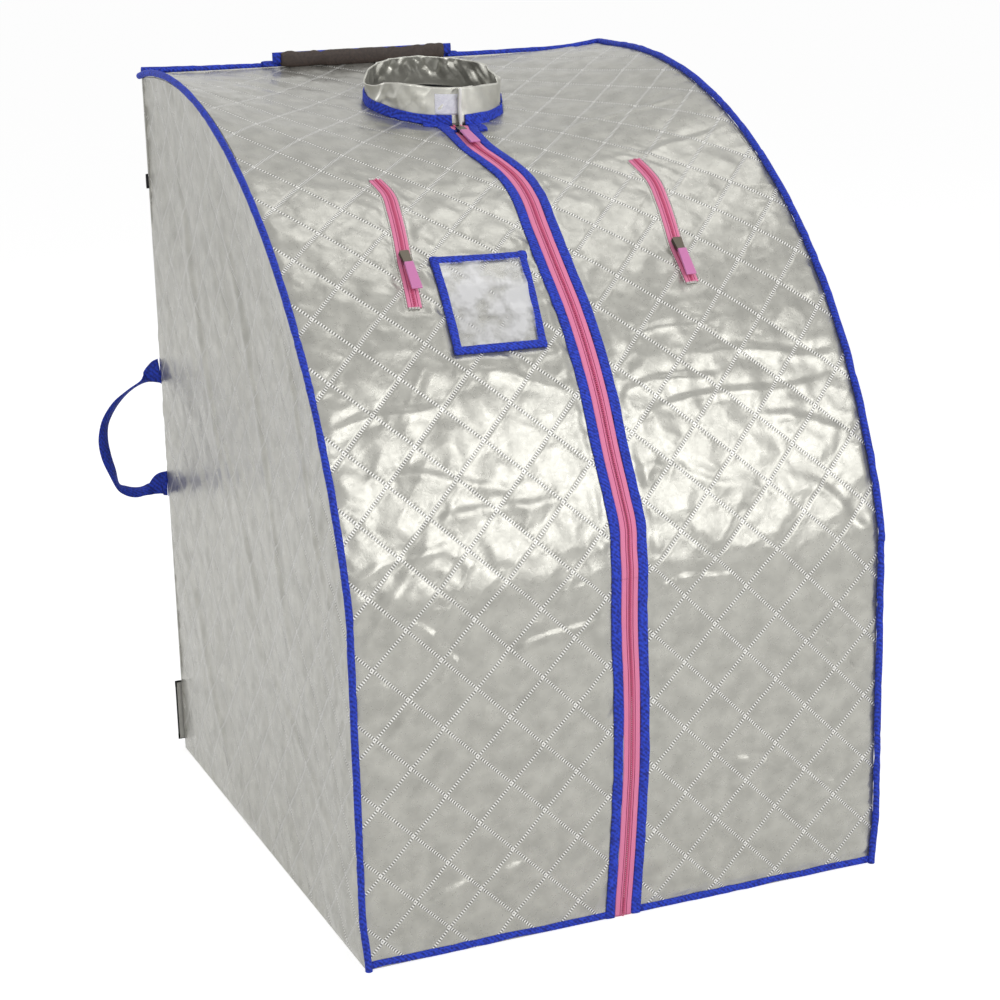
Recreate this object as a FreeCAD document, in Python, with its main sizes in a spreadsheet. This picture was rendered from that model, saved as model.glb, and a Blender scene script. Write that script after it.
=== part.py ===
import FreeCAD, Part
import math
import os
import re

import Sketcher

# Portable steam sauna: a quilted fabric cabin on flat spring-steel hoops, open at the floor.
# The frame: +Z up, the front faces -Y, +X to the right of someone facing the front.
# The origin is on the floor, under the middle of the back panel's bottom edge.
# Depths ("d") are measured forward from the rear face of the back panel, so y = panel_wall/2 - d.

DRIVING_SIZES = {
    # cabin
    "cabin_width": 684, "cabin_depth": 781, "front_height": 427, "panel_wall": 6,
    "shoulder_radius": 97, "roof_radius": 709, "edge_turn": 14.7,
    "middle_radius": 597, "middle_turn": 12,
    # running clearances
    "body_gap": 0.5, "part_gap": 0.3, "crease_gap": 1,
    # corner returns of the back and front panels, and the roof's turned-down side edge
    "short_return": 10, "long_return": 38, "roof_flange": 30.5, "flange_lap": 2,
    "back_panel_gap": 0.7,
    # flat spring-steel hoops sewn into the panels
    "hoop_margin": 24, "hoop_corner": 40, "hoop_width": 5, "hoop_thickness": 1.6, "hoop_play": 0.4,
    # edge piping
    "piping_radius": 4, "piping_standoff": 3.2,
    # front lapels
    "lapel_corner": 28, "lapel_tip": 26, "trim_from_crease": 4,
    "hem_height": 9, "hem_thickness": 1.3, "hem_end": 44,
    # zips
    "tape_width": 10.5, "tape_thickness": 1, "teeth_width": 3, "teeth_height": 2.4,
    "zip_binding_width": 12.2, "binding_thickness": 2.3,
    "slider_width": 12, "slider_length": 18, "slider_height": 6, "slider_fillet": 1.5,
    "pull_width": 13, "pull_length": 36, "pull_thickness": 2.4, "pull_flat": 0.1,
    "slider_from_collar": 20, "pull_rise": 0.5, "pull_droop": 6,
    "arm_zip_left_x": 186, "arm_zip_right_x": 167, "arm_zip_low": 44.2, "arm_zip_high": 63.1,
    "arm_slider_left": 49.6, "arm_slider_right": 48.2, "slit_width": 0.8,
    # neck opening and collar
    "neck_from_back": 206, "neck_radius": 90, "collar_wall": 3, "collar_height": 44,
    "neck_binding_height": 12, "neck_binding_wall": 2, "collar_flap_wall": 3,
    "hook_thickness": 0.8, "flap_root_angle": 50, "flap_edge_angle": 2, "tongue_angle": 15,
    "hook_start_angle": 16, "hook_end_angle": 12, "zip_gap_angle": 15.5,
    # window pocket
    "window_left": 165, "window_right": 43, "window_low": 685, "window_high": 788,
    "window_frame": 10,
    # top grip
    "grip_offset": 22, "grip_length": 248, "grip_height": 22, "grip_thickness": 11.6, "grip_fillet": 4.5,
    "grip_rise": 2.5, "strap_height": 14, "strap_thickness": 2.4, "strap_tail": 12, "anchor_width": 16,
    # carry loop
    "loop_reach": 96, "loop_low": 392, "loop_high": 575, "loop_width": 19, "loop_thickness": 3,
    "loop_corner": 22, "loop_hinge_gap": 1, "loop_tab_height": 38, "loop_tab_length": 34,
    "tab_thickness": 2,
    # steam port
    "port_x": 280, "port_z": 56, "port_radius": 20, "port_sleeve": 3.4, "port_flange": 9,
    "port_flange_thickness": 2, "cover_left": 350, "cover_right": 240, "cover_low": 13, "cover_high": 103,
    "cover_thickness": 2, "cover_binding": 10, "cover_hook_height": 9,
    # black webbing tab on the rear edge
    "rear_tab_z": 831, "rear_tab_height": 20, "rear_tab_length": 24, "rear_tab_overhang": 3,
}

doc = FreeCAD.newDocument("portable_steam_sauna")
sizes = doc.addObject("Spreadsheet::Sheet", "sizes")
for row, (alias, value) in enumerate(DRIVING_SIZES.items(), start=1):
    sizes.set(f"A{row}", alias.replace("_", " "))
    sizes.set(f"B{row}", str(value))
    sizes.setAlias(f"B{row}", alias)
doc.recompute()

WORDS = re.compile(r"\b(" + "|".join(sorted(DRIVING_SIZES, key=len, reverse=True)) + r")\b")
HALF = "(cabin_width/2)"
INNER = "(cabin_width/2 - panel_wall)"
FAR = 1200  # mm, the length of a cutting block, past the whole cabin
SPARE = 10  # mm that a cutting block reaches past what it cuts
PARALLEL = 0.99  # cosine above which two directions count as the same
parts = {}


def formula(text):
    """A formula in the names of the driving sizes, as the document reads it."""
    return WORDS.sub(r"sizes.\1", str(text))


def number(text):
    """The present value of a formula."""
    return float(sizes.evalExpression(formula(text)))


def at_depth(depth):
    """The y of a point this far forward of the rear face."""
    return f"(panel_wall/2 - ({depth}))"


def bind(item, **bindings):
    """Bind properties of an object to formulas; x, y and z are its position."""
    for name, text in bindings.items():
        path = f"Placement.Base.{name}" if name in "xyz" else name
        item.setExpression(path, formula(text))
    return item


def keep(label, item):
    """Name an object as one of the sauna's pieces."""
    item.Label = label
    parts[label] = item
    return item


def box(x, y, z):
    """A block between two formulas on each axis."""
    item = doc.addObject("Part::Box", "block")
    return bind(item, Length=f"({x[1]}) - ({x[0]})", Width=f"({y[1]}) - ({y[0]})",
                Height=f"({z[1]}) - ({z[0]})", x=x[0], y=y[0], z=z[0])


def slab(x, depth, z):
    """A block whose second range is a depth from the rear face, nearer end first."""
    return box(x, (at_depth(depth[1]), at_depth(depth[0])), z)


def cylinder(radius, length, centre, direction=(0, 0, 1)):
    """A cylinder that starts at a centre of formulas and runs along a direction."""
    item = doc.addObject("Part::Cylinder", "round")
    turn = FreeCAD.Rotation(FreeCAD.Vector(0, 0, 1), FreeCAD.Vector(*direction))
    item.Placement = FreeCAD.Placement(FreeCAD.Vector(), turn)
    return bind(item, Radius=radius, Height=length, x=centre[0], y=centre[1], z=centre[2])


def common(*items):
    """What all the objects share."""
    item = doc.addObject("Part::MultiCommon", "shared")
    item.Shapes = list(items)
    return item


def fuse(*items):
    """The objects as one solid."""
    item = doc.addObject("Part::MultiFuse", "joined")
    item.Shapes = list(items)
    item.Refine = True
    return item


def cut(base, *tools):
    """The first object less the others."""
    for tool in tools:
        item = doc.addObject("Part::Cut", "cut")
        item.Base = base
        item.Tool = tool
        base = item
    return base


def mirrored(item):
    """The object on the other side of the middle plane."""
    copy = doc.addObject("Part::Mirroring", "mirror")
    copy.Source = item
    copy.Base = FreeCAD.Vector(0, 0, 0)
    copy.Normal = FreeCAD.Vector(1, 0, 0)
    return copy


def polygon_sketch(sketch, corners):
    """Draw a closed outline in a sketch, each corner held by two bound distances from the origin."""
    points = [FreeCAD.Vector(number(x), number(y), 0) for x, y in corners]
    count = len(points)
    for index, point in enumerate(points):
        sketch.addGeometry(Part.LineSegment(point, points[(index + 1) % count]))
    for index, (x, y) in enumerate(corners):
        sketch.addConstraint(Sketcher.Constraint("Coincident", index, 2, (index + 1) % count, 1))
        for kind, text in (("DistanceX", x), ("DistanceY", y)):
            value = number(text)
            held = sketch.addConstraint(Sketcher.Constraint(kind, -1, 1, index, 1, value))
            sketch.setExpression(f"Constraints[{held}]", formula(text))


def origin_plane(body, role):
    """One of a body's own origin planes."""
    return next(item for item in body.Origin.OriginFeatures if item.Role == role)


def padded_body(corners, length, role="XY_Plane", fillet=None, midplane=False):
    """A body padded from an outline of formulas, with its corner edges rounded if asked."""
    body = doc.addObject("PartDesign::Body", "body")
    sketch = body.newObject("Sketcher::SketchObject", "outline")
    sketch.AttachmentSupport = [(origin_plane(body, role), "")]
    sketch.MapMode = "FlatFace"
    polygon_sketch(sketch, corners)
    pad = body.newObject("PartDesign::Pad", "pad")
    pad.Profile = sketch
    pad.setExpression("Length", formula(length))
    pad.Midplane = midplane
    body.Tip = pad
    doc.recompute()
    if fillet:
        along = {"XY_Plane": FreeCAD.Vector(0, 0, 1), "YZ_Plane": FreeCAD.Vector(1, 0, 0)}[role]
        corner_edges = [f"Edge{index}" for index, edge in enumerate(pad.Shape.Edges, start=1)
                        if abs(edge.tangentAt(edge.FirstParameter).dot(along)) > PARALLEL]
        rounding = body.newObject("PartDesign::Fillet", "rounding")
        rounding.Base = (pad, corner_edges)
        rounding.setExpression("Radius", formula(fillet))
        body.Tip = rounding
    return body


# ---------------------------------------------------------------- the cabin's curved profile

def arc_centre(turn, radius):
    """Depth and height of a roof arc's centre, tangent to the shoulder arc above the upright front."""
    depth = f"(cabin_depth - shoulder_radius*(1 - cos({turn})) - {radius}*cos({turn}))"
    height = f"(front_height + (shoulder_radius - {radius})*sin({turn}))"
    return depth, height


EDGE_DEPTH, EDGE_HEIGHT = arc_centre("edge_turn", "roof_radius")
MIDDLE_DEPTH, MIDDLE_HEIGHT = arc_centre("middle_turn", "middle_radius")
NECK_FRONT = "(neck_from_back + neck_radius)"


def edge_top(depth, offset="0"):
    """Height of the side edge's profile at a depth."""
    return f"({EDGE_HEIGHT} + sqrt((roof_radius + {offset})^2 - (({depth}) - {EDGE_DEPTH})^2))"


def middle_top(depth, offset="0"):
    """Height of the sagging middle's profile at a depth."""
    return f"({MIDDLE_HEIGHT} + sqrt((middle_radius + {offset})^2 - (({depth}) - {MIDDLE_DEPTH})^2))"


BACK_TOP = edge_top("0")


def profile_sketch(offset, x, middle=False):
    """The cabin's closed side outline at an x, grown outward by an offset."""
    turn, radius = ("middle_turn", "middle_radius") if middle else ("edge_turn", "roof_radius")
    depth, height = (MIDDLE_DEPTH, MIDDLE_HEIGHT) if middle else (EDGE_DEPTH, EDGE_HEIGHT)
    top = middle_top if middle else edge_top
    sketch = doc.addObject("Sketcher::SketchObject", "profile")
    upright = FreeCAD.Rotation(FreeCAD.Vector(1, 1, 1), 120)
    sketch.Placement = FreeCAD.Placement(FreeCAD.Vector(), upright)
    bind(sketch, x=x)
    grown = f"(cabin_depth + {offset})"
    shoulder = f"(shoulder_radius + {offset})"
    arc = f"({radius} + {offset})"
    back_top = f"({BACK_TOP} + {offset})"

    def point(depth_text, height_text):
        return FreeCAD.Vector(number(at_depth(depth_text)), number(height_text), 0)

    turn_now = number(turn)
    joint = f"(front_height + {shoulder}*sin({turn}))"
    neck = point(NECK_FRONT, top(NECK_FRONT, offset))
    centre = point(depth, height)
    neck_angle = math.atan2(neck.y - centre.y, neck.x - centre.x)
    up = FreeCAD.Vector(0, 0, 1)
    bottom_back, bottom_front = point("0", "0"), point(grown, "0")
    front_top = point(grown, "front_height")
    sketch.addGeometry(Part.LineSegment(bottom_back, bottom_front))
    sketch.addGeometry(Part.LineSegment(bottom_front, front_top))
    turned = math.pi - math.radians(turn_now)
    shoulder_centre = point("cabin_depth - shoulder_radius", "front_height")
    shoulder_circle = Part.Circle(shoulder_centre, up, number(shoulder))
    sketch.addGeometry(Part.ArcOfCircle(shoulder_circle, turned, math.pi))
    roof_circle = Part.Circle(centre, up, number(arc))
    sketch.addGeometry(Part.ArcOfCircle(roof_circle, neck_angle, turned))
    back_point = point("0", back_top)
    if middle:
        sketch.addGeometry(Part.LineSegment(back_point, neck))
    else:
        end = math.atan2(back_point.y - centre.y, back_point.x - centre.x)
        sketch.addGeometry(Part.ArcOfCircle(roof_circle, end, neck_angle))
    sketch.addGeometry(Part.LineSegment(back_point, bottom_back))
    bottom, front, bend, roof, rear, back = range(6)
    joins = [(bottom, 2, front, 1), (rear, 1, back, 1), (back, 2, bottom, 1)]
    smooth = [(front, 2, bend, 2), (bend, 1, roof, 2)]
    if middle:
        joins.append((roof, 1, rear, 2))
    else:
        smooth.append((roof, 1, rear, 2))
    for join in joins:
        sketch.addConstraint(Sketcher.Constraint("Coincident", *join))
    for join in smooth:
        sketch.addConstraint(Sketcher.Constraint("Tangent", *join))
    for line in (front, back):
        sketch.addConstraint(Sketcher.Constraint("Vertical", line))
    sketch.addConstraint(Sketcher.Constraint("Horizontal", bottom))
    held = [
        ("DistanceX", bottom, 1, at_depth("0")), ("DistanceX", bottom, 2, at_depth(grown)),
        ("DistanceY", front, 2, "front_height"), ("DistanceY", roof, 2, joint),
        ("DistanceX", roof, 1, at_depth(NECK_FRONT)),
    ]
    if middle:
        held.append(("DistanceY", rear, 1, back_top))
    sketch.addConstraint(Sketcher.Constraint("PointOnObject", bottom, 1, -1))
    for kind, geometry, end, text in held:
        index = sketch.addConstraint(Sketcher.Constraint(kind, -1, 1, geometry, end, number(text)))
        sketch.setExpression(f"Constraints[{index}]", formula(text))
    radii = [(bend, shoulder), (roof, arc)]
    if not middle:
        radii.append((rear, arc))
    for geometry, text in radii:
        index = sketch.addConstraint(Sketcher.Constraint("Radius", geometry, number(text)))
        sketch.setExpression(f"Constraints[{index}]", formula(text))
    return sketch


def straight_block(offset):
    """Everything under the side edge's profile, as wide as the cabin."""
    item = doc.addObject("Part::Extrusion", "straight_block")
    item.Base = profile_sketch(offset, f"-{HALF}")
    item.DirMode = "Custom"
    item.Dir = FreeCAD.Vector(1, 0, 0)
    item.Solid = True
    return bind(item, LengthFwd="cabin_width")


def roof_block(offset):
    """Everything under the roof, which sags from its side edges to its middle."""
    item = doc.addObject("Part::Loft", "roof_block")
    item.Sections = [profile_sketch(offset, f"-{HALF}"), profile_sketch(offset, "0", middle=True),
                     profile_sketch(offset, HALF)]
    item.Solid = True
    return item


UNDER_SKIN, ON_SKIN = roof_block("(-panel_wall)"), roof_block("0")
TAPE_BOTTOM = "part_gap"
TAPE_TOP = "(part_gap + tape_thickness)"
TEETH_BOTTOM = "(2*part_gap + tape_thickness)"
TEETH_TOP = "(2*part_gap + tape_thickness + teeth_height)"
BINDING_TOP = "(part_gap + binding_thickness)"
COLLAR_TOP = "(part_gap + collar_height)"
NECK_BINDING_TOP = "(part_gap + neck_binding_height)"
blocks = {"0": ON_SKIN}


def layer(low, high):
    """The layer of space between two heights above the roof's skin."""
    for offset in (low, high):
        if offset not in blocks:
            blocks[offset] = roof_block(offset)
    return cut(blocks[high], blocks[low])


tape_layer = layer(TAPE_BOTTOM, TAPE_TOP)
teeth_layer = layer(TEETH_BOTTOM, TEETH_TOP)
binding_layer = layer(TAPE_BOTTOM, BINDING_TOP)

WHOLE_WIDTH = (f"-{HALF} - {SPARE}", f"{HALF} + {SPARE}")
WHOLE_DEPTH = (f"-{SPARE}", FAR)
FRONT_SLOPE = ("neck_from_back", FAR)
NECK_Y = at_depth("neck_from_back")


def neck_cylinder(radius):
    """An upright cylinder about the neck opening's axis."""
    return cylinder(radius, FAR, ("0", NECK_Y, "0"))


def neck_ring(inner, outer):
    """An upright ring about the neck opening's axis."""
    return cut(neck_cylinder(outer), neck_cylinder(inner))


# ---------------------------------------------------------------- sewn-in spring-steel hoops

def flat_hoop(outline, normal, play):
    """A flat hoop inside a panel's outline, with rounded corners; play makes it the pocket around it."""
    corner = number("hoop_corner")
    tight = outline.makeOffset2D(-number("hoop_margin") - corner)
    ring = tight.makeOffset2D(corner + play).cut(tight.makeOffset2D(corner - number("hoop_width") - play))
    thickness = number("hoop_thickness") + 2*play
    ring.translate(normal*(-thickness/2))
    return ring.extrude(normal*thickness)


def panel_with_hoop(label, hoop_label, flat, axis, returns=(), holes=()):
    """Keep a panel with its corner returns and holes, and the hoop sealed in the middle of its wall."""
    doc.recompute()
    normal = FreeCAD.Vector(*axis)
    outline = Part.Face(flat.Shape.slice(normal, flat.Shape.BoundBox.Center.dot(normal))[0])
    steel = doc.addObject("Part::Feature", "steel_hoop")
    steel.Shape = flat_hoop(outline, normal, 0)
    pocket = doc.addObject("Part::Feature", "hoop_pocket")
    pocket.Shape = flat_hoop(outline, normal, number("hoop_play"))
    keep(hoop_label, steel)
    panel = fuse(flat, *returns) if returns else flat
    return keep(label, cut(panel, *holes, pocket))


# ---------------------------------------------------------------- back panel, sides and roof

LEFT_SKIN = (f"-{HALF}", f"-{INNER}")
RIGHT_SKIN = (INNER, HALF)
ROOF_DROP = f"(({BACK_TOP} - {middle_top(NECK_FRONT)})*panel_wall/{NECK_FRONT})"
PANEL_TOP = f"({BACK_TOP} - panel_wall - {ROOF_DROP} - back_panel_gap)"
BELOW_ROOF = "(front_height - body_gap)"
UP_TO_ROOF = ("0", BELOW_ROOF)
ROOF_HEIGHTS = ("front_height", FAR)

under_flange = straight_block("(-roof_flange - body_gap)")
side_zone = fuse(under_flange, slab(("-cabin_width/2", HALF), ("0", "cabin_depth"), UP_TO_ROOF))


def back_panel():
    """The upright back panel, with its corner returns, the steam port's hole and its hoop."""
    flat = slab((f"-{HALF}", HALF), ("0", "panel_wall"), ("0", PANEL_TOP))
    returns = [
        common(slab(LEFT_SKIN, ("panel_wall/2", "short_return"), ("0", FAR)), under_flange),
        common(slab(RIGHT_SKIN, ("panel_wall/2", "long_return"), ("0", FAR)), under_flange),
    ]
    hole = cylinder("port_radius + port_sleeve + part_gap", "3*panel_wall",
                    ("-port_x", "2*panel_wall", "port_z"), (0, -1, 0))
    panel_with_hoop("back_panel", "back_hoop", flat, (0, 1, 0), returns, [hole])


def side_panels(side, skin, rear_return, front_return):
    """A side wall as two half panels that crease inward between them, each with its hoop."""
    span = f"(cabin_depth - {rear_return} - {front_return})"
    crease = f"({rear_return} + {span}/2)"
    halves = {
        "rear": (f"{rear_return} + body_gap", f"{crease} - body_gap/2"),
        "front": (f"{crease} + body_gap/2", f"cabin_depth - {front_return} - body_gap"),
    }
    for end, depth in halves.items():
        flat = common(slab(skin, depth, ("0", FAR)), side_zone)
        panel_with_hoop(f"{side}_{end}_panel", f"{side}_{end}_hoop", flat, (1, 0, 0))


def roof_panel():
    """The sagging roof skin and its turned-down side edges, with the neck hole and three slits."""
    skin = common(cut(ON_SKIN, UNDER_SKIN), slab(WHOLE_WIDTH, WHOLE_DEPTH, ROOF_HEIGHTS))
    band = cut(straight_block("(flange_lap - panel_wall)"), straight_block("(-roof_flange)"))
    edges = [common(band, slab(skin_side, ("panel_wall + body_gap", FAR), ROOF_HEIGHTS))
             for skin_side in (LEFT_SKIN, RIGHT_SKIN)]
    slit = slab(("-slit_width/2", "slit_width/2"), FRONT_SLOPE, ("0", FAR))
    arm_slits = [arm_zip_zone(x, "slit_width/2") for x in ARM_ZIPS.values()]
    hole = neck_cylinder("neck_radius - collar_wall - part_gap")
    keep("roof_panel", cut(fuse(skin, *edges), hole, slit, *arm_slits))


# ---------------------------------------------------------------- blue piping

def torus_piece(depth, height, radius, start, end, x):
    """A stretch of round piping bent about a crosswise axis, between two angles above the front."""
    centre = FreeCAD.Vector(x, number(at_depth(depth)), number(height))
    first = FreeCAD.Vector(0, -math.cos(start), math.sin(start))*radius + centre
    tangent = FreeCAD.Vector(0, math.sin(start), math.cos(start))
    ring = Part.Face(Part.Wire(Part.makeCircle(number("piping_radius"), first, tangent)))
    return ring.revolve(centre, FreeCAD.Vector(-1, 0, 0), math.degrees(end - start))


def edge_piping():
    """Piping along the roof's curved sides, the front's upright edges and the top of the back."""
    x = number(f"-{HALF} - piping_standoff")
    turn = math.radians(number("edge_turn"))
    shoulder = number("shoulder_radius + piping_standoff")
    roof = number("roof_radius + piping_standoff")
    back_end = math.pi - math.acos(number(EDGE_DEPTH)/roof)
    bend = torus_piece("cabin_depth - shoulder_radius", "front_height", shoulder, 0, turn, x)
    curve = torus_piece(EDGE_DEPTH, EDGE_HEIGHT, roof, turn, back_end, x)
    left = doc.addObject("Part::Feature", "curved_piping")
    left.Shape = bend.fuse(curve).removeSplitter()
    keep("roof_piping_left", left)
    keep("roof_piping_right", mirrored(left))
    corner = (f"-{HALF} - piping_standoff", at_depth("cabin_depth + piping_standoff"), "0")
    upright = cylinder("piping_radius", BELOW_ROOF, corner)
    keep("front_piping_left", upright)
    keep("front_piping_right", mirrored(upright))
    reach = f"({HALF} + piping_standoff - piping_radius - part_gap)"
    start = (f"-{reach}", at_depth("-piping_standoff"), f"{BACK_TOP} + piping_standoff")
    keep("back_top_piping", cylinder("piping_radius", f"2*{reach}", start, (1, 0, 0)))


# ---------------------------------------------------------------- front gores and lapels

def crease_prism(shift):
    """Everything on the zip's side of the left diagonal crease, which is moved right by a shift."""
    lean = f"({SPARE}*{HALF}/front_height)"
    corners = [(f"-{HALF} + {shift} - {lean}", f"-{SPARE}"), (f"{shift} + {lean}", f"-{SPARE}"),
               (f"{shift} + {lean}", f"front_height + {SPARE}")]
    return padded_body(corners, 2*FAR, role="XZ_Plane", midplane=True)


def front_halves():
    """The front below the roof: outer gores with corner returns, and lapels that fold outward."""
    wall = ("cabin_depth - panel_wall", "cabin_depth")
    inner_edge = "-slit_width/2"
    lapel_start = f"-{HALF} + lapel_corner"
    tip = "(front_height - lapel_tip)"
    below_tip = slab((f"{lapel_start} - crease_gap", FAR), WHOLE_DEPTH, (f"-{SPARE}", f"{tip} + crease_gap"))
    cutter = common(crease_prism("-crease_gap/2"), below_tip)
    left_gore = cut(slab((f"-{HALF}", inner_edge), wall, UP_TO_ROOF), cutter)
    right_gore = mirrored(left_gore)
    left_return = slab(LEFT_SKIN, ("cabin_depth - long_return", "cabin_depth - panel_wall/2"), UP_TO_ROOF)
    right_return = slab(RIGHT_SKIN, ("cabin_depth - short_return", "cabin_depth - panel_wall/2"), UP_TO_ROOF)
    keep("front_gore_left", fuse(left_gore, left_return))
    keep("front_gore_right", fuse(right_gore, right_return))
    lapel = common(slab((lapel_start, inner_edge), wall, ("0", tip)), crease_prism("crease_gap/2"))
    trim_zone = crease_prism("trim_from_crease")
    pieces = {"lapel": lapel}
    strips = {
        "lapel_zip_tape": (TAPE_INSIDE, TAPE_OUTSIDE, TAPE_BOTTOM, TAPE_TOP),
        "lapel_zip_teeth": (TAPE_INSIDE, TEETH_OUTSIDE, TEETH_BOTTOM, TEETH_TOP),
        "lapel_zip_binding": (ZIP_BINDING_INSIDE, ZIP_BINDING_OUTSIDE, TAPE_BOTTOM, BINDING_TOP),
    }
    for label, (near, far, low, high) in strips.items():
        strip = slab((f"-{far}", f"-{near}"), (f"cabin_depth + {low}", f"cabin_depth + {high}"), ("0", tip))
        pieces[label] = common(strip, trim_zone)
    hem = slab((f"-{HALF} + hem_end", f"-{ZIP_BINDING_OUTSIDE} - part_gap"),
               ("cabin_depth + part_gap", "cabin_depth + part_gap + hem_thickness"), ("0", "hem_height"))
    pieces["hem_binding"] = hem
    for label, piece in pieces.items():
        keep(f"{label}_left", piece)
        keep(f"{label}_right", mirrored(piece))


# ---------------------------------------------------------------- zips

TAPE_INSIDE = "(slit_width/2)"
TAPE_OUTSIDE = "(slit_width/2 + tape_width)"
TEETH_OUTSIDE = "(slit_width/2 + teeth_width)"
ZIP_BINDING_INSIDE = f"({TAPE_OUTSIDE} + part_gap)"
ZIP_BINDING_OUTSIDE = f"({TAPE_OUTSIDE} + part_gap + zip_binding_width)"
ARM_ZIPS = {"left": "(-arm_zip_left_x)", "right": "arm_zip_right_x"}


def arc_at(x):
    """Depth, height and radius of the roof's arc at an x, between the middle's and the side edge's."""
    share = f"(({x})^2/{HALF}^2)"
    pairs = ((EDGE_DEPTH, MIDDLE_DEPTH), (EDGE_HEIGHT, MIDDLE_HEIGHT), ("roof_radius", "middle_radius"))
    return [f"({edge}*{share} + {middle}*(1 - {share}))" for edge, middle in pairs]


def arm_zip_zone(x, half_width):
    """The upright block over an arm zip, as long as the zip and this wide each way."""
    _, height, radius = arc_at(x)
    low, high = (f"{height} + {radius}*sin({angle})" for angle in ("arm_zip_low", "arm_zip_high"))
    return slab((f"{x} - ({half_width})", f"{x} + ({half_width})"), FRONT_SLOPE, (low, high))


def roof_zip():
    """The main zip's tapes, teeth and bindings over the roof, from the collar to the front's top."""
    strips = {
        "roof_zip_tapes": (tape_layer, TAPE_INSIDE, TAPE_OUTSIDE),
        "roof_zip_teeth": (teeth_layer, TAPE_INSIDE, TEETH_OUTSIDE),
        "roof_zip_bindings": (binding_layer, ZIP_BINDING_INSIDE, ZIP_BINDING_OUTSIDE),
    }
    for label, (space, near, far) in strips.items():
        sides = [common(space, slab(x, FRONT_SLOPE, ROOF_HEIGHTS))
                 for x in ((f"-{far}", f"-{near}"), (near, far))]
        end = neck_cylinder("neck_radius + neck_binding_wall + 2*part_gap")
        both = doc.addObject("Part::Compound", "pair")
        both.Links = sides
        keep(label, cut(both, end))


def arm_zips():
    """Each arm zip's tape and teeth, over its slit."""
    for side, x in ARM_ZIPS.items():
        keep(f"arm_zip_tape_{side}", common(tape_layer, arm_zip_zone(x, TAPE_OUTSIDE)))
        keep(f"arm_zip_teeth_{side}", common(teeth_layer, arm_zip_zone(x, TEETH_OUTSIDE)))


def zip_slider(name, x, arc, angle):
    """A slider and its pull tab on an arc of the roof, at an angle above the front."""
    half_w, half_l = "(slider_width/2)", "(slider_length/2)"
    outline = [(f"-{half_w}", f"-{half_l}"), (half_w, f"-{half_l}"), (half_w, half_l), (f"-{half_w}", half_l)]
    slider = padded_body(outline, "slider_height", fillet="slider_fillet")
    half_t = "(pull_thickness/2)"
    pull_outline = [(f"-{half_t} - pull_length", f"-{half_t}"), (half_t, f"-{half_t}"), (half_t, half_t),
                    (f"-{half_t} - pull_length", half_t)]
    pull = padded_body(pull_outline, "pull_width", role="YZ_Plane", fillet="(pull_thickness - pull_flat)/2",
                       midplane=True)
    depth, height, radius = arc
    centre = FreeCAD.Vector(number(x), number(at_depth(depth)), number(height))
    tilt = FreeCAD.Rotation(FreeCAD.Vector(1, 0, 0), 90 - number(angle))
    lift = number(f"{radius} + {TEETH_TOP} + part_gap")
    slider.Placement = FreeCAD.Placement(centre + tilt.multVec(FreeCAD.Vector(0, 0, lift)), tilt)
    hinge_reach = number(f"{half_l} + part_gap + {half_t}")
    hinge = FreeCAD.Vector(0, -hinge_reach, lift + number("slider_height + pull_rise"))
    droop = FreeCAD.Rotation(FreeCAD.Vector(1, 0, 0), number("pull_droop"))
    pull.Placement = FreeCAD.Placement(centre + tilt.multVec(hinge), tilt.multiply(droop))
    keep(f"{name}_slider", slider)
    keep(f"{name}_pull", pull)


def sliders():
    """The main zip's slider below the collar, and the two arm zips' sliders."""
    main_radius = f"(middle_radius + {TEETH_TOP} + part_gap)"
    main_angle = f"acos(({NECK_FRONT} + slider_from_collar - {MIDDLE_DEPTH})/{main_radius})"
    zip_slider("main_zip", "0", (MIDDLE_DEPTH, MIDDLE_HEIGHT, "middle_radius"), main_angle)
    for side, x in ARM_ZIPS.items():
        zip_slider(f"arm_zip_{side}", x, arc_at(x), f"arm_slider_{side}")


# ---------------------------------------------------------------- collar

def sector(start, end):
    """An upright wedge about the neck's axis, between two angles from the front towards +X."""
    item = neck_cylinder("2*neck_radius")
    item.setExpression("Angle", formula(f"({end}) - ({start})"))
    item.Placement = FreeCAD.Placement(FreeCAD.Vector(), FreeCAD.Rotation(FreeCAD.Vector(0, 0, 1), 1))
    item.setExpression("Placement.Rotation.Angle", formula(f"({start}) - 90"))
    return item


def collar():
    """The standing collar, its closing flap, its blue base binding and the hook-and-loop patches."""
    band_ring = neck_ring("neck_radius - collar_wall", "neck_radius")
    whole = layer(TAPE_BOTTOM, COLLAR_TOP)
    keep("collar_band", common(band_ring, whole, sector("flap_root_angle", "360 + tongue_angle")))
    binding_ring = neck_ring("neck_radius + part_gap", "neck_radius + part_gap + neck_binding_wall")
    keep("collar_binding", common(binding_ring, layer(TAPE_BOTTOM, NECK_BINDING_TOP),
                                  sector("zip_gap_angle", "360 - zip_gap_angle")))
    above_binding = layer(f"{NECK_BINDING_TOP} + body_gap", COLLAR_TOP)
    patch = "(neck_radius + part_gap + hook_thickness)"
    hook_ring = neck_ring("neck_radius + part_gap", patch)
    keep("collar_hook_patch", common(hook_ring, above_binding, sector("-hook_start_angle", "hook_end_angle")))
    loop = f"({patch} + part_gap)"
    loop_ring = neck_ring(loop, f"{loop} + hook_thickness")
    keep("collar_loop_patch", common(loop_ring, above_binding, sector("flap_edge_angle", "hook_end_angle")))
    flap = f"({loop} + hook_thickness + part_gap)"
    flap_ring = neck_ring(flap, f"{flap} + collar_flap_wall")
    keep("collar_flap", common(flap_ring, above_binding, sector("flap_edge_angle", "flap_root_angle")))


# ---------------------------------------------------------------- window pocket

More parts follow.
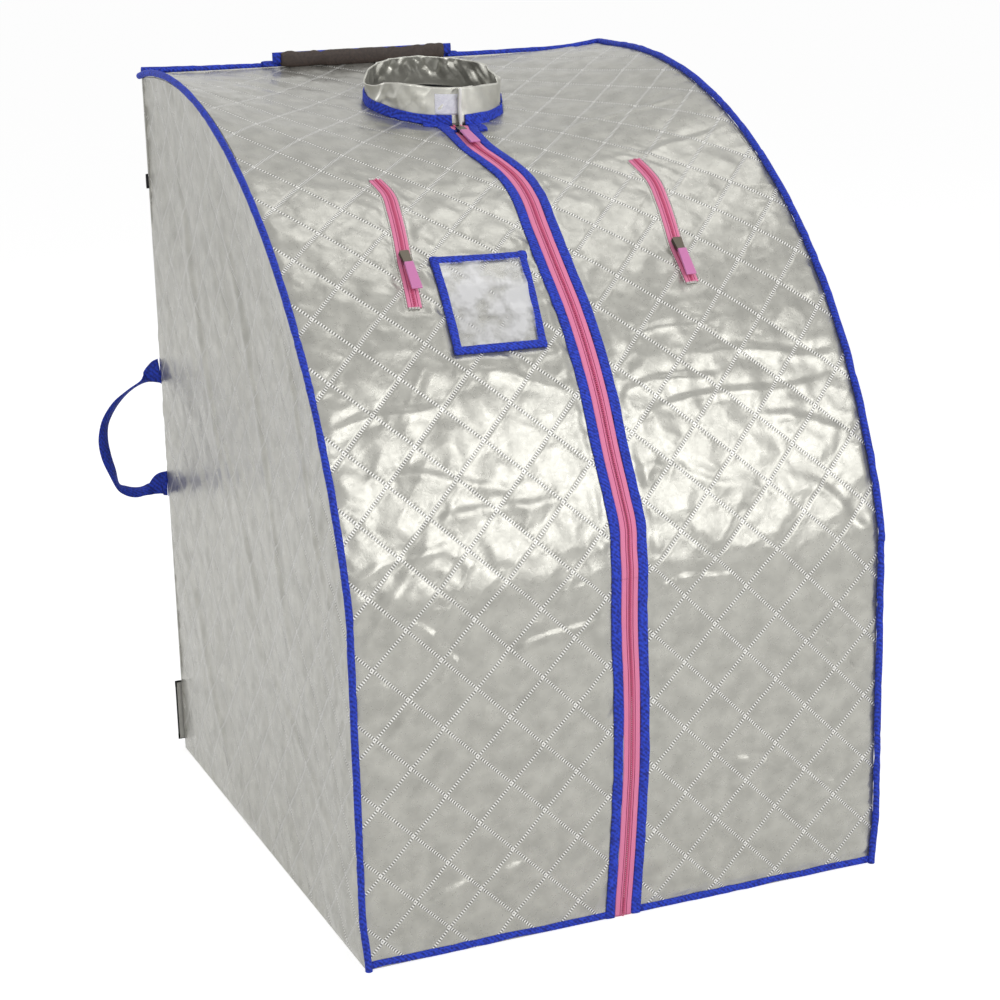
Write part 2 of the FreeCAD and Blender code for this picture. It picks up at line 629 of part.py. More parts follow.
def window_pocket():
    """The clear pocket sewn beside the zip, and the blue binding round it."""
    frame_x = ("-window_left", "-window_right")
    sides = ("-window_left + window_frame", "-window_right - window_frame")
    heights = ("window_low + window_frame", "window_high - window_frame")
    keep("window_film", common(tape_layer, slab(sides, FRONT_SLOPE, heights)))
    opening = slab((f"{sides[0]} - part_gap", f"{sides[1]} + part_gap"), FRONT_SLOPE,
                   (f"{heights[0]} - part_gap", f"{heights[1]} + part_gap"))
    pocket = common(binding_layer, slab(frame_x, FRONT_SLOPE, ("window_low", "window_high")))
    keep("window_binding", cut(pocket, opening))


# ---------------------------------------------------------------- grip, carry loop and tabs

def top_grip():
    """The padded sleeve on its strap over the back's top edge, and the anchors that hold its ends."""
    near = "(piping_radius - piping_standoff + body_gap)"
    low = f"({BACK_TOP} + grip_rise)"
    far, crest = f"({near} + grip_thickness)", f"({low} + grip_height)"
    corners = [(at_depth(far), low), (at_depth(near), low), (at_depth(near), crest), (at_depth(far), crest)]
    sleeve = padded_body(corners, "grip_length", role="YZ_Plane", fillet="grip_fillet", midplane=True)
    bind(sleeve, x="-grip_offset")
    half_strap = "(grip_length/2 + strap_tail)"
    middle_depth, middle_height = f"({near} + grip_thickness/2)", f"({low} + grip_height/2)"

    def strap_block(play):
        half_thick, half_high = f"(strap_thickness/2 + {play})", f"(strap_height/2 + {play})"
        return slab((f"-grip_offset - {half_strap}", f"-grip_offset + {half_strap}"),
                    (f"{middle_depth} - {half_thick}", f"{middle_depth} + {half_thick}"),
                    (f"{middle_height} - {half_high}", f"{middle_height} + {half_high}"))

    keep("grip_sleeve", cut(sleeve, strap_block("part_gap")))
    keep("grip_strap", strap_block("0"))
    over = f"({BACK_TOP} + piping_standoff + piping_radius + part_gap)"
    behind = "(piping_standoff + piping_radius + part_gap)"
    anchors = []
    for side in ("-", ""):
        inner = f"({half_strap} + body_gap)"
        outer = f"({inner} + anchor_width)"
        span = (f"-grip_offset - {outer}", f"-grip_offset - {inner}") if side else \
            (f"-grip_offset + {inner}", f"-grip_offset + {outer}")
        under_strap = f"{middle_depth} + strap_thickness/2"
        high = f"{over} + tab_thickness"
        top = slab(span, (f"-{behind} - tab_thickness", under_strap), (over, high))
        rear = slab(span, (f"-{behind} - tab_thickness", f"-{behind}"), (f"{over} - 2*anchor_width", high))
        anchors.append(fuse(top, rear))
    both = doc.addObject("Part::Compound", "grip_anchor_pair")
    both.Links = anchors
    keep("grip_anchors", both)


def carry_loop():
    """The webbing loop beside the back's left edge, and the two tabs that hold it."""
    turn_x = f"(-{HALF} - loop_thickness/2 - loop_hinge_gap)"
    rear = "(-part_gap - loop_thickness)"
    corners = [
        ("0", "loop_high"), (f"{turn_x} - loop_reach/2", "loop_high"),
        (f"{turn_x} - loop_reach", "(loop_high + loop_low)/2 + loop_width/2"),
        (f"{turn_x} - loop_reach + loop_thickness", "loop_low"), ("0", "loop_low"),
    ]
    points = [FreeCAD.Vector(number(x), number(at_depth(rear)), number(z)) for x, z in corners]
    outline = Part.Face(Part.makePolygon(points + points[:1]))
    bend = number("loop_corner")
    outer = outline.makeOffset2D(-bend).makeOffset2D(bend)
    band = outer.cut(outer.makeOffset2D(-number("loop_width")))
    solid = band.extrude(FreeCAD.Vector(0, -number("loop_thickness"), 0))
    keep_box = Part.makeBox(FAR, FAR, FAR, FreeCAD.Vector(number(turn_x) - FAR, -FAR/2, 0))
    curve = doc.addObject("Part::Feature", "loop_band")
    curve.Shape = solid.common(keep_box)
    ends = [
        cylinder("loop_thickness/2", "loop_width", (turn_x, at_depth(f"{rear} + loop_thickness/2"), low))
        for low in ("loop_low", "loop_high - loop_width")
    ]
    keep("carry_loop", fuse(curve, *ends))
    middle = "loop_width/2"
    tab_x = (f"-{HALF} - loop_hinge_gap + part_gap", f"-{HALF} + loop_tab_length")
    tab_depth = ("-part_gap - tab_thickness", "-part_gap")
    tabs = [slab(tab_x, tab_depth, (f"{z} - loop_tab_height/2", f"{z} + loop_tab_height/2"))
            for z in (f"(loop_low + {middle})", f"(loop_high - {middle})")]
    both = doc.addObject("Part::Compound", "loop_tab_pair")
    both.Links = tabs
    keep("carry_loop_tabs", both)
    keep("rear_edge_tab", slab((f"-{HALF} - rear_tab_overhang", f"-{HALF} + rear_tab_length"), tab_depth,
                               ("rear_tab_z - rear_tab_height/2", "rear_tab_z + rear_tab_height/2")))


# ---------------------------------------------------------------- steam port

def steam_port():
    """The hose port's grommet through the back panel, and the cover flap that hangs over it."""
    outer = "(port_radius + port_sleeve)"
    flange = f"({outer} + port_flange)"
    near, far = "(part_gap + port_flange_thickness)", "(panel_wall + part_gap + port_flange_thickness)"
    centre = ("-port_x", "port_z")

    def ring_block(radius, start, length):
        return cylinder(radius, length, (centre[0], at_depth(start), centre[1]), (0, -1, 0))

    sleeve = ring_block(outer, f"-{near}", f"{near} + {far}")
    back_flange = ring_block(flange, f"-{near}", "port_flange_thickness")
    inner_flange = ring_block(flange, "panel_wall + part_gap", "port_flange_thickness")
    bore = ring_block("port_radius", f"-{near} - {SPARE}", f"{near} + {far} + 2*{SPARE}")
    keep("steam_port_grommet", cut(fuse(sleeve, back_flange, inner_flange), bore))
    cover_x = ("-cover_left", "-cover_right")
    cover_depth = (f"-{near} - part_gap - cover_thickness", f"-{near} - part_gap")
    keep("port_cover", slab(cover_x, cover_depth, ("cover_low", "cover_high")))
    binding_depth = (f"{cover_depth[0]} - part_gap - hem_thickness", f"{cover_depth[0]} - part_gap")
    rim = slab(cover_x, binding_depth, ("cover_low", "cover_high"))
    inside = slab(("-cover_left + cover_binding", "-cover_right - cover_binding"),
                  (f"{binding_depth[0]} - {SPARE}", f"{binding_depth[1]} + {SPARE}"),
                  ("cover_low + cover_binding", "cover_high - cover_binding"))
    keep("port_cover_binding", cut(rim, inside))
    hook_x = (f"-{HALF} + cover_binding", "-cover_right - cover_binding")
    keep("port_cover_hook", slab(hook_x, (f"-{near} + body_gap", "-part_gap"),
                                 ("cover_low", "cover_low + cover_hook_height")))


# ---------------------------------------------------------------- build, check and write

back_panel()
side_panels("left", LEFT_SKIN, "short_return", "long_return")
side_panels("right", RIGHT_SKIN, "long_return", "short_return")
roof_panel()
edge_piping()
front_halves()
roof_zip()
arm_zips()
sliders()
collar()
window_pocket()
top_grip()
carry_loop()
steam_port()
doc.recompute()

for item in doc.Objects:
    if "Invalid" in item.State or "Error" in item.State:
        raise RuntimeError(f"{item.Label} failed: {item.State}")
for label, item in parts.items():
    shape = item.Shape
    if shape.isNull() or not shape.isValid() or not shape.Solids:
        raise RuntimeError(f"{label} has no valid solid")

os.makedirs("parts", exist_ok=True)
for label, item in parts.items():
    item.Shape.exportStep(f"parts/{label}.step")
print(len(parts), "pieces written")
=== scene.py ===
import logging
import math
from dataclasses import dataclass, field, replace
from enum import Enum
from typing import Any, Callable, Optional, Sequence

import bpy
import numpy as np
from bpy.types import Material, Mesh, Node, NodeSocket, NodeTree, Object
from mathutils import Matrix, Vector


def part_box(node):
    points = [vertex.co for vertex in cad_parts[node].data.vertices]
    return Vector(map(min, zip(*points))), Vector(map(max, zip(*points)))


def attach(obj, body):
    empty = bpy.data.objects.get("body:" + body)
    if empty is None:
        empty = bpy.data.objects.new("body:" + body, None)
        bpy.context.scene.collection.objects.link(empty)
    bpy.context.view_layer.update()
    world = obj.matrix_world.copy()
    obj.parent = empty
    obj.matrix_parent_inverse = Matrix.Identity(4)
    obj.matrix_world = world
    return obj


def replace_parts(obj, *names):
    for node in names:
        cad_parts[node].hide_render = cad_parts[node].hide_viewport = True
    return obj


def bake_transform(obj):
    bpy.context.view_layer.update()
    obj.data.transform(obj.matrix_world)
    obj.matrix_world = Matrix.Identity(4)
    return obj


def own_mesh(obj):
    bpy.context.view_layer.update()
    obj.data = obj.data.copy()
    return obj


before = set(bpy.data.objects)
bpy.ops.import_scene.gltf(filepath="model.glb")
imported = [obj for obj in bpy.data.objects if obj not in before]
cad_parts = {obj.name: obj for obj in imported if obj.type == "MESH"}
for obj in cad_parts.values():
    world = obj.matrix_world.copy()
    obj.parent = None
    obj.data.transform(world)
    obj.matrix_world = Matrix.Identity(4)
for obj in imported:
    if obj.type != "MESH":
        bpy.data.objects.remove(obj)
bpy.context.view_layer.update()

# Portable steam sauna: the cloth, zips, bindings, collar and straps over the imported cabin.
# Lengths are metres in the row frame: +Z up, the front faces -Y, +X to the right of someone facing it.
# The cloth is laid out in its own flat coordinates: u runs across the cabin and s runs up the front,
# over the shoulder and back along the roof, so that quilting, zips and trims lie on it as they were sewn.

MM = 0.001
QUILT_CELL = 84*MM       # the quilting's diamonds, corner to corner
BEHIND = (0.0, 1.0, 0.0)
LOG = logging.getLogger("sauna")
Array = np.ndarray


class Body(str, Enum):
    """The moving bodies that the pieces ride on."""

    ROOT = "back_and_roof"
    FRONT = "front"
    LEFT_LAPEL = "left_lapel"
    RIGHT_LAPEL = "right_lapel"
    GRIP = "top_grip"
    LOOP = "carry_loop"
    COLLAR_FLAP = "collar_flap"
    PORT_COVER = "port_cover"


class Side(Enum):
    """Left or right of the cabin, as its sign along X."""

    LEFT = -1
    RIGHT = 1

    @property
    def word(self) -> str:
        """The side's name in the names of pieces."""
        return self.name.lower()


# ---------------------------------------------------------------- numbers and noise

def to_linear(code: str) -> tuple[float, float, float, float]:
    """A colour's linear value from its sRGB hex code.

    Args:
        code: Six hex digits after a hash.

    Returns:
        Red, green, blue and an alpha of one.
    """
    parts = [int(code[i:i + 2], 16)/255 for i in (1, 3, 5)]
    linear = [c/12.92 if c <= 0.04045 else ((c + 0.055)/1.055)**2.4 for c in parts]
    return (*linear, 1.0)


def smooth(x: Array, start: float, end: float) -> Array:
    """A smooth step from 0 at start to 1 at end."""
    t = np.clip((x - start)/(end - start), 0, 1)
    return t*t*(3 - 2*t)


def noise(a: Array, b: Array, cell: float, seed: int) -> Array:
    """Smooth value noise over a plane.

    Args:
        a: First coordinate.
        b: Second coordinate.
        cell: Size of the noise's cells, in the coordinates' units.
        seed: Picks the pattern.

    Returns:
        Values from -1 to 1, as many as the coordinates.
    """
    size = 61
    table = np.random.default_rng(seed).uniform(-1, 1, (size, size))
    x, y = np.broadcast_arrays(a/cell, b/cell)
    i, j = np.floor(x).astype(int), np.floor(y).astype(int)
    fx, fy = x - i, y - j
    fx, fy = fx*fx*(3 - 2*fx), fy*fy*(3 - 2*fy)
    corner = [table[(i + di) % size, (j + dj) % size] for di in (0, 1) for dj in (0, 1)]
    low = corner[0]*(1 - fy) + corner[1]*fy
    high = corner[2]*(1 - fy) + corner[3]*fy
    return low*(1 - fx) + high*fx


def unit(vectors: Array) -> Array:
    """Vectors along the last axis, made one long."""
    return vectors/np.maximum(np.linalg.norm(vectors, axis=-1, keepdims=True), 1e-12)


def run_of(line: Array) -> Array:
    """How far along a line each of its points is."""
    return np.concatenate([[0], np.cumsum(np.linalg.norm(np.diff(line, axis=0), axis=1))])


def points_at(x: Array, y: Array, z: Array) -> Array:
    """Points from their coordinates, each an array or one number for all."""
    return np.stack(np.broadcast_arrays(x, y, z), -1)


def taken_at(places: Array, run: Array, values: Array) -> Array:
    """Vectors that belong to places along a line, read off between its points."""
    return np.stack([np.interp(places, run, values[:, k]) for k in range(values.shape[1])], -1)


# ---------------------------------------------------------------- meshes

@dataclass
class Patch:
    """A mesh in numpy arrays: points, triangles, quilt-cell coordinates and, if known, its own normals."""

    points: Array
    triangles: Array
    cells: Array
    normals: Optional[Array] = None
    slots: Optional[Array] = None

    def part(self, keep: Array) -> "Patch":
        """The patch with only some of its triangles.

        Args:
            keep: One boolean for each triangle.

        Returns:
            A patch without the points that no triangle uses.
        """
        triangles = self.triangles[keep]
        used, index = np.unique(triangles, return_inverse=True)
        normals = None if self.normals is None else self.normals[used]
        slots = None if self.slots is None else self.slots[keep]
        return Patch(self.points[used], index.reshape(-1, 3), self.cells[used], normals, slots)

    def middles(self, values: Array) -> Array:
        """The mean of a value of each point over each triangle's corners."""
        return values[self.triangles].mean(axis=1)


def joined(patches: Sequence[Patch]) -> Patch:
    """Put several patches together.

    Args:
        patches: The patches; a normal of their own is kept only if they all have one.

    Returns:
        One patch, in which each of them has its own material slot number.
    """
    start, triangles, slots = 0, [], []
    for number, patch in enumerate(patches):
        triangles.append(patch.triangles + start)
        slots.append(np.full(len(patch.triangles), number))
        start += len(patch.points)
    normals = None
    if all(patch.normals is not None for patch in patches):
        normals = np.concatenate([patch.normals for patch in patches])
    return Patch(np.concatenate([patch.points for patch in patches]), np.concatenate(triangles),
                 np.concatenate([patch.cells for patch in patches]), normals, np.concatenate(slots))


def merged(patches: Sequence[Patch]) -> Patch:
    """Several patches of one material as one."""
    return replace(joined(patches), slots=None)


def grid_triangles(rows: int, columns: int, seam: Optional[Array] = None, flip: bool = False) -> Array:
    """Triangles of a grid of points numbered row by row.

    Args:
        rows: Points along the first axis.
        columns: Points along the second axis.
        seam: True for each quad that is split along its other diagonal.
        flip: Turn the faces over.

    Returns:
        Three point numbers for each triangle.
    """
    number = np.arange(rows*columns).reshape(rows, columns)
    a, b, c, d = number[:-1, :-1], number[1:, :-1], number[1:, 1:], number[:-1, 1:]
    other = np.zeros(a.shape, bool) if seam is None else seam
    first = np.where(other[..., None], np.stack([a, b, d], -1), np.stack([a, b, c], -1))
    second = np.where(other[..., None], np.stack([b, c, d], -1), np.stack([a, c, d], -1))
    triangles = np.concatenate([first.reshape(-1, 3), second.reshape(-1, 3)])
    return triangles[:, ::-1] if flip else triangles


def grid_normals(points: Array, flip: bool = False) -> Array:
    """Unit normals of a grid of points, from the differences to its neighbours."""
    normals = unit(np.cross(np.gradient(points, axis=0), np.gradient(points, axis=1)))
    return -normals if flip else normals


def drawn_up(points: Array) -> Array:
    """Draw the cabin's back right top corner up into a point, as its hoop stretches the cloth there.

    Args:
        points: Points of any piece.

    Returns:
        The points, lifted where they are near that corner.
    """
    corner, rise, reach = np.array([0.345, 0.006, 0.978]), 9*MM, 42*MM
    far = np.linalg.norm(points - corner, axis=-1)
    return points + np.array([0, 0, 1.0])*(rise*np.exp(-far/reach))[:, None]


def make_piece(name: str, patch: Patch, materials: Sequence[Material]) -> Object:
    """Make a smooth-shaded mesh object from a patch.

    Args:
        name: Name of the piece.
        patch: Its points, triangles and quilt-cell coordinates.
        materials: One material for each slot number of the patch.

    Returns:
        The new object, linked to the scene.
    """
    mesh = bpy.data.meshes.new(name)
    count = len(patch.triangles)
    patch.points = drawn_up(patch.points)
    mesh.vertices.add(len(patch.points))
    mesh.vertices.foreach_set("co", patch.points.astype(np.float32).ravel())
    mesh.loops.add(3*count)
    mesh.loops.foreach_set("vertex_index", patch.triangles.astype(np.int32).ravel())
    mesh.polygons.add(count)
    mesh.polygons.foreach_set("loop_start", np.arange(0, 3*count, 3, dtype=np.int32))
    mesh.polygons.foreach_set("use_smooth", np.ones(count, bool))
    if patch.slots is not None:
        mesh.polygons.foreach_set("material_index", patch.slots.astype(np.int32))
    for material in materials:
        mesh.materials.append(material)
    layer = mesh.uv_layers.new(name=CELL_MAP)
    layer.uv.foreach_set("vector", patch.cells[patch.triangles.ravel()].astype(np.float32).ravel())
    mesh.update(calc_edges=True)
    mesh.validate()
    if patch.normals is not None:
        mesh.normals_split_custom_set_from_vertices(patch.normals.tolist())
    piece = bpy.data.objects.new(name, mesh)
    bpy.context.scene.collection.objects.link(piece)
    LOG.info("%s: %d triangles", name, count)
    return piece


def dressed(name: str, patch: Patch, material: Material, slot: str, *nodes: str) -> Object:
    """Make a piece of one material, and hide the CAD nodes that it stands for.

    Args:
        name: Name of the piece.
        patch: Its mesh.
        material: Its finish.
        slot: Not used.
        nodes: The CAD nodes that it stands for.

    Returns:
        The new object.
    """
    piece = make_piece(name, patch, [material])
    if nodes:
        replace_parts(piece, *nodes)
    return piece


def swept(line: Array, across: Array, up: Array, outline: Sequence[tuple[float, float]],
          closed_line: bool = False, cell: float = 0.01) -> Patch:
    """Sweep a closed outline along a line, with flat end caps on an open line.

    Args:
        line: Points of the line.
        across: Unit vector across the line, one for all or one at each point.
        up: Unit vector away from the surface, in the same way.
        outline: Closed outline as (across, up) pairs.
        closed_line: True if the line's end meets its start.
        cell: Length that one unit of the pattern coordinates stands for.

    Returns:
        The swept patch; its pattern coordinates run across and along it.
    """
    shape = np.array(outline, float)
    if shape.ndim == 2:
        shape = np.broadcast_to(shape, (len(line), *shape.shape))
    across, up = (np.broadcast_to(vector, line.shape) for vector in (across, up))
    points = line[:, None] + across[:, None]*shape[..., :1] + up[:, None]*shape[..., 1:]
    count, corners = points.shape[:2]
    along = run_of(line)
    cells = np.stack([shape[..., 0]/cell, np.broadcast_to(along[:, None]/cell, (count, corners))], -1)
    turns = count if closed_line else count - 1
    i, j = np.meshgrid(np.arange(turns), np.arange(corners), indexing="ij")
    i2, j2 = (i + 1) % count, (j + 1) % corners
    a, b, c, d = (x.ravel() for x in (i*corners + j, i2*corners + j, i2*corners + j2, i*corners + j2))
    triangles = [np.stack([a, b, c], -1), np.stack([a, c, d], -1)]
    if not closed_line:
        for base, order in ((0, 1), ((count - 1)*corners, -1)):
            fan = [(base, base + k, base + k + 1)[::order] for k in range(1, corners - 1)]
            triangles.append(np.array(fan))
    return Patch(points.reshape(-1, 3), np.concatenate(triangles), cells.reshape(-1, 2))


def pillow(width: float, low: float, high: float, steps: int = 5) -> list[tuple[float, float]]:
    """A flat tape's outline: flat underneath, rounded on top.

    Args:
        width: Width of the tape.
        low: Height of its underside.
        high: Height of its top.
        steps: Half the number of points over the top.

    Returns:
        (across, up) pairs, anticlockwise from the left edge.
    """
    half, end_turn, fullness = width/2, 0.12, 0.45
    bottom = [(-half, low), (half, low)]
    top = [(half*math.cos(t), low + (high - low)*math.sin(t)**fullness)
           for t in np.linspace(end_turn, math.pi - end_turn, 2*steps)]
    return bottom + top


def tube_outline(radius: float, corners: int = 12) -> list[tuple[float, float]]:
    """A round outline."""
    return [(radius*math.cos(t), radius*math.sin(t))
            for t in np.linspace(0, 2*math.pi, corners, endpoint=False)]


def frames_along(line: Array, up: Sequence[float]) -> tuple[Array, Array]:
    """Directions that follow a line.

    Args:
        line: Points of the line.
        up: The wanted up direction.

    Returns:
        The across vectors, and the up vectors as near as can be to the wanted one.
    """
    ahead = unit(np.gradient(line, axis=0))
    across = unit(np.cross(ahead, np.broadcast_to(up, line.shape)))
    return across, unit(np.cross(across, ahead))


def ribbon(line: Array, up: Sequence[float], outline: Sequence[tuple[float, float]]) -> Patch:
    """Sweep an outline along a line with its top turned towards up."""
    return swept(line, *frames_along(line, up), outline)


def frame_paths(corners: Sequence[Array], overlap: float, count: int) -> list[Array]:
    """The four sides of a frame of tape.

    Args:
        corners: The frame's corners in order.
        overlap: How far each side runs past its corners.
        count: Points along each side.

    Returns:
        One straight path for each side.
    """
    t = np.linspace(0, 1, count)[:, None]
    paths = []
    for start, end in zip(corners, [*corners[1:], corners[0]]):
        past = unit(end - start)*overlap
        paths.append((start - past)*(1 - t) + (end + past)*t)
    return paths


def smooth_line(corners: Sequence[Sequence[float]], count: int) -> Array:
    """A smooth line through a few points (a Catmull-Rom spline).

    Args:
        corners: The points.
        count: How many points the line has.

    Returns:
        Points evenly spaced by length.
    """
    p = np.array(corners, float)
    p = np.concatenate([[2*p[0] - p[1]], p, [2*p[-1] - p[-2]]])
    t = np.linspace(0, 1, 24, endpoint=False)[:, None]
    runs = []
    for a, b, c, d in zip(p[:-3], p[1:-2], p[2:-1], p[3:]):
        runs.append(0.5*(2*b + (c - a)*t + (2*a - 5*b + 4*c - d)*t**2 + (3*b - a - 3*c + d)*t**3))
    fine = np.concatenate([*runs, p[-2:-1]])
    along = run_of(fine)
    return taken_at(np.linspace(0, along[-1], count), along, fine)


# ---------------------------------------------------------------- materials

CELL_MAP = "cloth_cells"


def add_node(tree: NodeTree, kind: str, inputs: Optional[dict] = None, **settings) -> Node:
    """Add a node, set its properties, and set or link its inputs.

    Args:
        tree: The node tree.
        kind: Blender's name of the node type.
        inputs: Socket name or number to a value, or to another node's output to link.
        settings: Properties of the node itself.

    Returns:
        The new node.
    """
    node = tree.nodes.new(kind)
    for name, value in settings.items():
        setattr(node, name, value)
    for key, value in (inputs or {}).items():
        if isinstance(value, NodeSocket):
            tree.links.new(value, node.inputs[key])
        else:
            node.inputs[key].default_value = value
    return node


def sum_up(tree: NodeTree, operation: str, *values) -> NodeSocket:
    """One arithmetic step on sockets or numbers."""
    return add_node(tree, "ShaderNodeMath", dict(enumerate(values)), operation=operation).outputs[0]


def ranged(tree: NodeTree, value: NodeSocket, low: float, high: float,
           start: float = 0.0, end: float = 1.0) -> NodeSocket:
    """A value from start to end, stretched to run from low to high."""
    ends = {"Value": value, 1: start, 2: end, 3: low, 4: high}
    return add_node(tree, "ShaderNodeMapRange", ends).outputs[0]


def toned(tree: NodeTree, colour: Any, amount: NodeSocket) -> NodeSocket:
    """A colour made lighter or darker by an amount."""
    return add_node(tree, "ShaderNodeVectorMath", {0: colour, "Scale": amount}, operation="SCALE").outputs[0]


def covered(tree: NodeTree, share: NodeSocket, under: Any, over: Any) -> NodeSocket:
    """A colour with a share of another over it."""
    return add_node(tree, "ShaderNodeMix", {0: share, 6: under, 7: over}, data_type="RGBA").outputs[2]


@dataclass(frozen=True)
class Finish:
    """What every finish has: a name, a colour, and how its surface scatters light."""

    name: str
    colour: str
    roughness: float
    metallic: float = 0.0
    sheen: float = 0.0
    coat: float = 0.0

    def start(self) -> tuple[Material, NodeTree, Node]:
        """Start a material with its shader set to the finish's plain values.

        Returns:
            The material, its nodes and its shader.
        """
        material = bpy.data.materials.new(self.name)
        material.use_nodes = True
        tree = material.node_tree
        tree.nodes.clear()
        shader = add_node(tree, "ShaderNodeBsdfPrincipled", {
            "Base Color": to_linear(self.colour), "Roughness": self.roughness,
            "Metallic": self.metallic, "Sheen Weight": self.sheen, "Coat Weight": self.coat,
        })
        add_node(tree, "ShaderNodeOutputMaterial", {"Surface": shader.outputs[0]})
        return material, tree, shader

    @staticmethod
    def cover(tree: NodeTree, shader: Node, height: NodeSocket, strength: float, depth: float,
              sockets: dict[str, NodeSocket]) -> None:
        """Raise a relief on the surface, and link the shader's patterned inputs.

        Args:
            tree: The material's nodes.
            shader: Its shader.
            height: The relief's pattern.
            strength: How fully the relief shows.
            depth: The relief's real depth in metres.
            sockets: What drives each patterned input.
        """
        bump = add_node(tree, "ShaderNodeBump", {"Height": height, "Strength": strength, "Distance": depth})
        for name, socket in {"Normal": bump.outputs[0], **sockets}.items():
            tree.links.new(socket, shader.inputs[name])


@dataclass(frozen=True)
class QuiltedSatin(Finish):
    """Silver-coated satin, sewn through wadding in diamonds by a ladder of short white stitches.

    The coating gives broad soft highlights that break at every pucker; the thread is matt and lighter.
    """

    thread: str = "#F3F2ED"
    # painted shade: hole is how dark the colour is painted in the holes between the stitches' rungs, where
    # they lie in shadow
    hole: float = 0.46
    seam_cells: float = 0.038
    stitches_per_cell: float = 17.0
    stitched: bool = True

    def build(self) -> Material:
        """Build the material.

        Returns:
            The finished material.
        """
        material, tree, shader = self.start()
        place = add_node(tree, "ShaderNodeUVMap", uv_map=CELL_MAP).outputs[0]
        # lighter and darker blotches about 25 mm across, random tone that also stands in for the satin's
        # uneven reflections as painted reflection, and creases of a few millimetres
        tone_and_reflection_blotch = add_node(tree, "ShaderNodeTexNoise", {"Vector": place, "Scale": 3.3, "Detail": 3.0})
        crinkle = add_node(tree, "ShaderNodeTexNoise", {"Vector": place, "Scale": 9.0, "Detail": 6.0,
                                                        "Roughness": 0.62, "Distortion": 1.4})
        # woven threads of 0.2 mm are too fine to show, so they are drawn about 1 mm wide
        weave = add_node(tree, "ShaderNodeTexWave", {"Vector": place, "Scale": 26.0, "Distortion": 2.5,
                                                     "Detail": 2.0}, bands_direction="DIAGONAL")
        # partly painted reflection: the colour is made lighter and darker in these blotches
        tone = ranged(tree, tone_and_reflection_blotch.outputs[0], 0.88, 1.08, 0.35, 0.65)
        plain = toned(tree, to_linear(self.colour)[:3], tone)
        rough = ranged(tree, crinkle.outputs[0], self.roughness - 0.06, self.roughness + 0.09, 0.3, 0.7)
        height = sum_up(tree, "MULTIPLY_ADD", weave.outputs[1], 0.05,
                        sum_up(tree, "MULTIPLY", crinkle.outputs[0], 0.55))
        patterned = {"Roughness": rough}
        if self.stitched:
            ladder, gaps = self.ladder(tree, place)
            # painted shade: the satin's colour is darkened in the shadowed holes between the rungs
            plain = toned(tree, plain, sum_up(tree, "MULTIPLY_ADD", gaps, self.hole - 1, 1.0))
            plain = covered(tree, ladder, plain, to_linear(self.thread))
            height = sum_up(tree, "ADD", height, sum_up(tree, "MULTIPLY", ladder, 0.6))
            patterned["Metallic"] = sum_up(tree, "MULTIPLY_ADD", ladder, -0.7*self.metallic, self.metallic)
        self.cover(tree, shader, height, 0.5, 0.8*MM, {"Base Color": plain, **patterned})
        return material

    def ladder(self, tree: NodeTree, place: NodeSocket) -> tuple[NodeSocket, NodeSocket]:
        """Draw the stitches along both families of quilting lines.

        Args:
            tree: The material's nodes.
            place: The cloth's coordinates in quilt cells.

        Returns:
            How much thread shows, and the share of painted shade in the shadowed holes between its rungs.
        """
        parts = add_node(tree, "ShaderNodeSeparateXYZ", {0: place})
        lines, shaded_holes = [], []
        for operation in ("ADD", "SUBTRACT"):
            across = sum_up(tree, operation, parts.outputs[0], parts.outputs[1])
            other = "SUBTRACT" if operation == "ADD" else "ADD"
            along = sum_up(tree, other, parts.outputs[0], parts.outputs[1])
            off = sum_up(tree, "PINGPONG", across, 0.5)
            band = ranged(tree, off, 0.0, 1.0, self.seam_cells, self.seam_cells*0.7)
            wave = sum_up(tree, "SINE", sum_up(tree, "MULTIPLY", along, 2*math.pi*self.stitches_per_cell))
            rung = ranged(tree, wave, 0.0, 1.0, -0.3, 0.5)
            lines.append(sum_up(tree, "MULTIPLY", band, rung))
            shaded_holes.append(sum_up(tree, "MULTIPLY", band, sum_up(tree, "SUBTRACT", 1.0, rung)))
        return sum_up(tree, "MAXIMUM", *lines), sum_up(tree, "MAXIMUM", *shaded_holes)


@dataclass(frozen=True)
class Woven(Finish):
    """Woven narrow goods, such as binding and webbing: ribs of thread that catch a soft sheen, with painted
    shade in the gaps between them and random darker flecks.
    """

    dark: str = "#101010"
    rib_mm: float = 1.1
    relief_mm: float = 0.35
    fleck_and_shade_share: float = 0.5

    def build(self) -> Material:
        """Build the material.

        Returns:
            The finished material.
        """
        material, tree, shader = self.start()
        place = add_node(tree, "ShaderNodeTexCoord").outputs["Object"]
        # ribs drawn a little coarser than the real 0.6 mm, so that they show
        ribs = add_node(tree, "ShaderNodeTexWave", {"Vector": place, "Scale": 1/(self.rib_mm*MM)/6.3,
                                                    "Distortion": 1.2, "Detail": 1.0},
                        bands_direction="DIAGONAL")
        cloud = add_node(tree, "ShaderNodeTexNoise", {"Vector": place, "Scale": 330.0, "Detail": 3.0})
        fuzz = sum_up(tree, "MULTIPLY", cloud.outputs[0], 0.84)
        both = sum_up(tree, "MULTIPLY_ADD", ribs.outputs[1], 0.16, fuzz)
        # partly painted shade: the colour darkens between the ribs, where the gaps between threads lie in
        # shade, and in random flecks from the cloud
        share = ranged(tree, both, self.fleck_and_shade_share, 0.0, 0.36, 0.62)
        colour = covered(tree, share, to_linear(self.colour), to_linear(self.dark))
        self.cover(tree, shader, both, 0.6, self.relief_mm*MM, {"Base Color": colour})
        return material


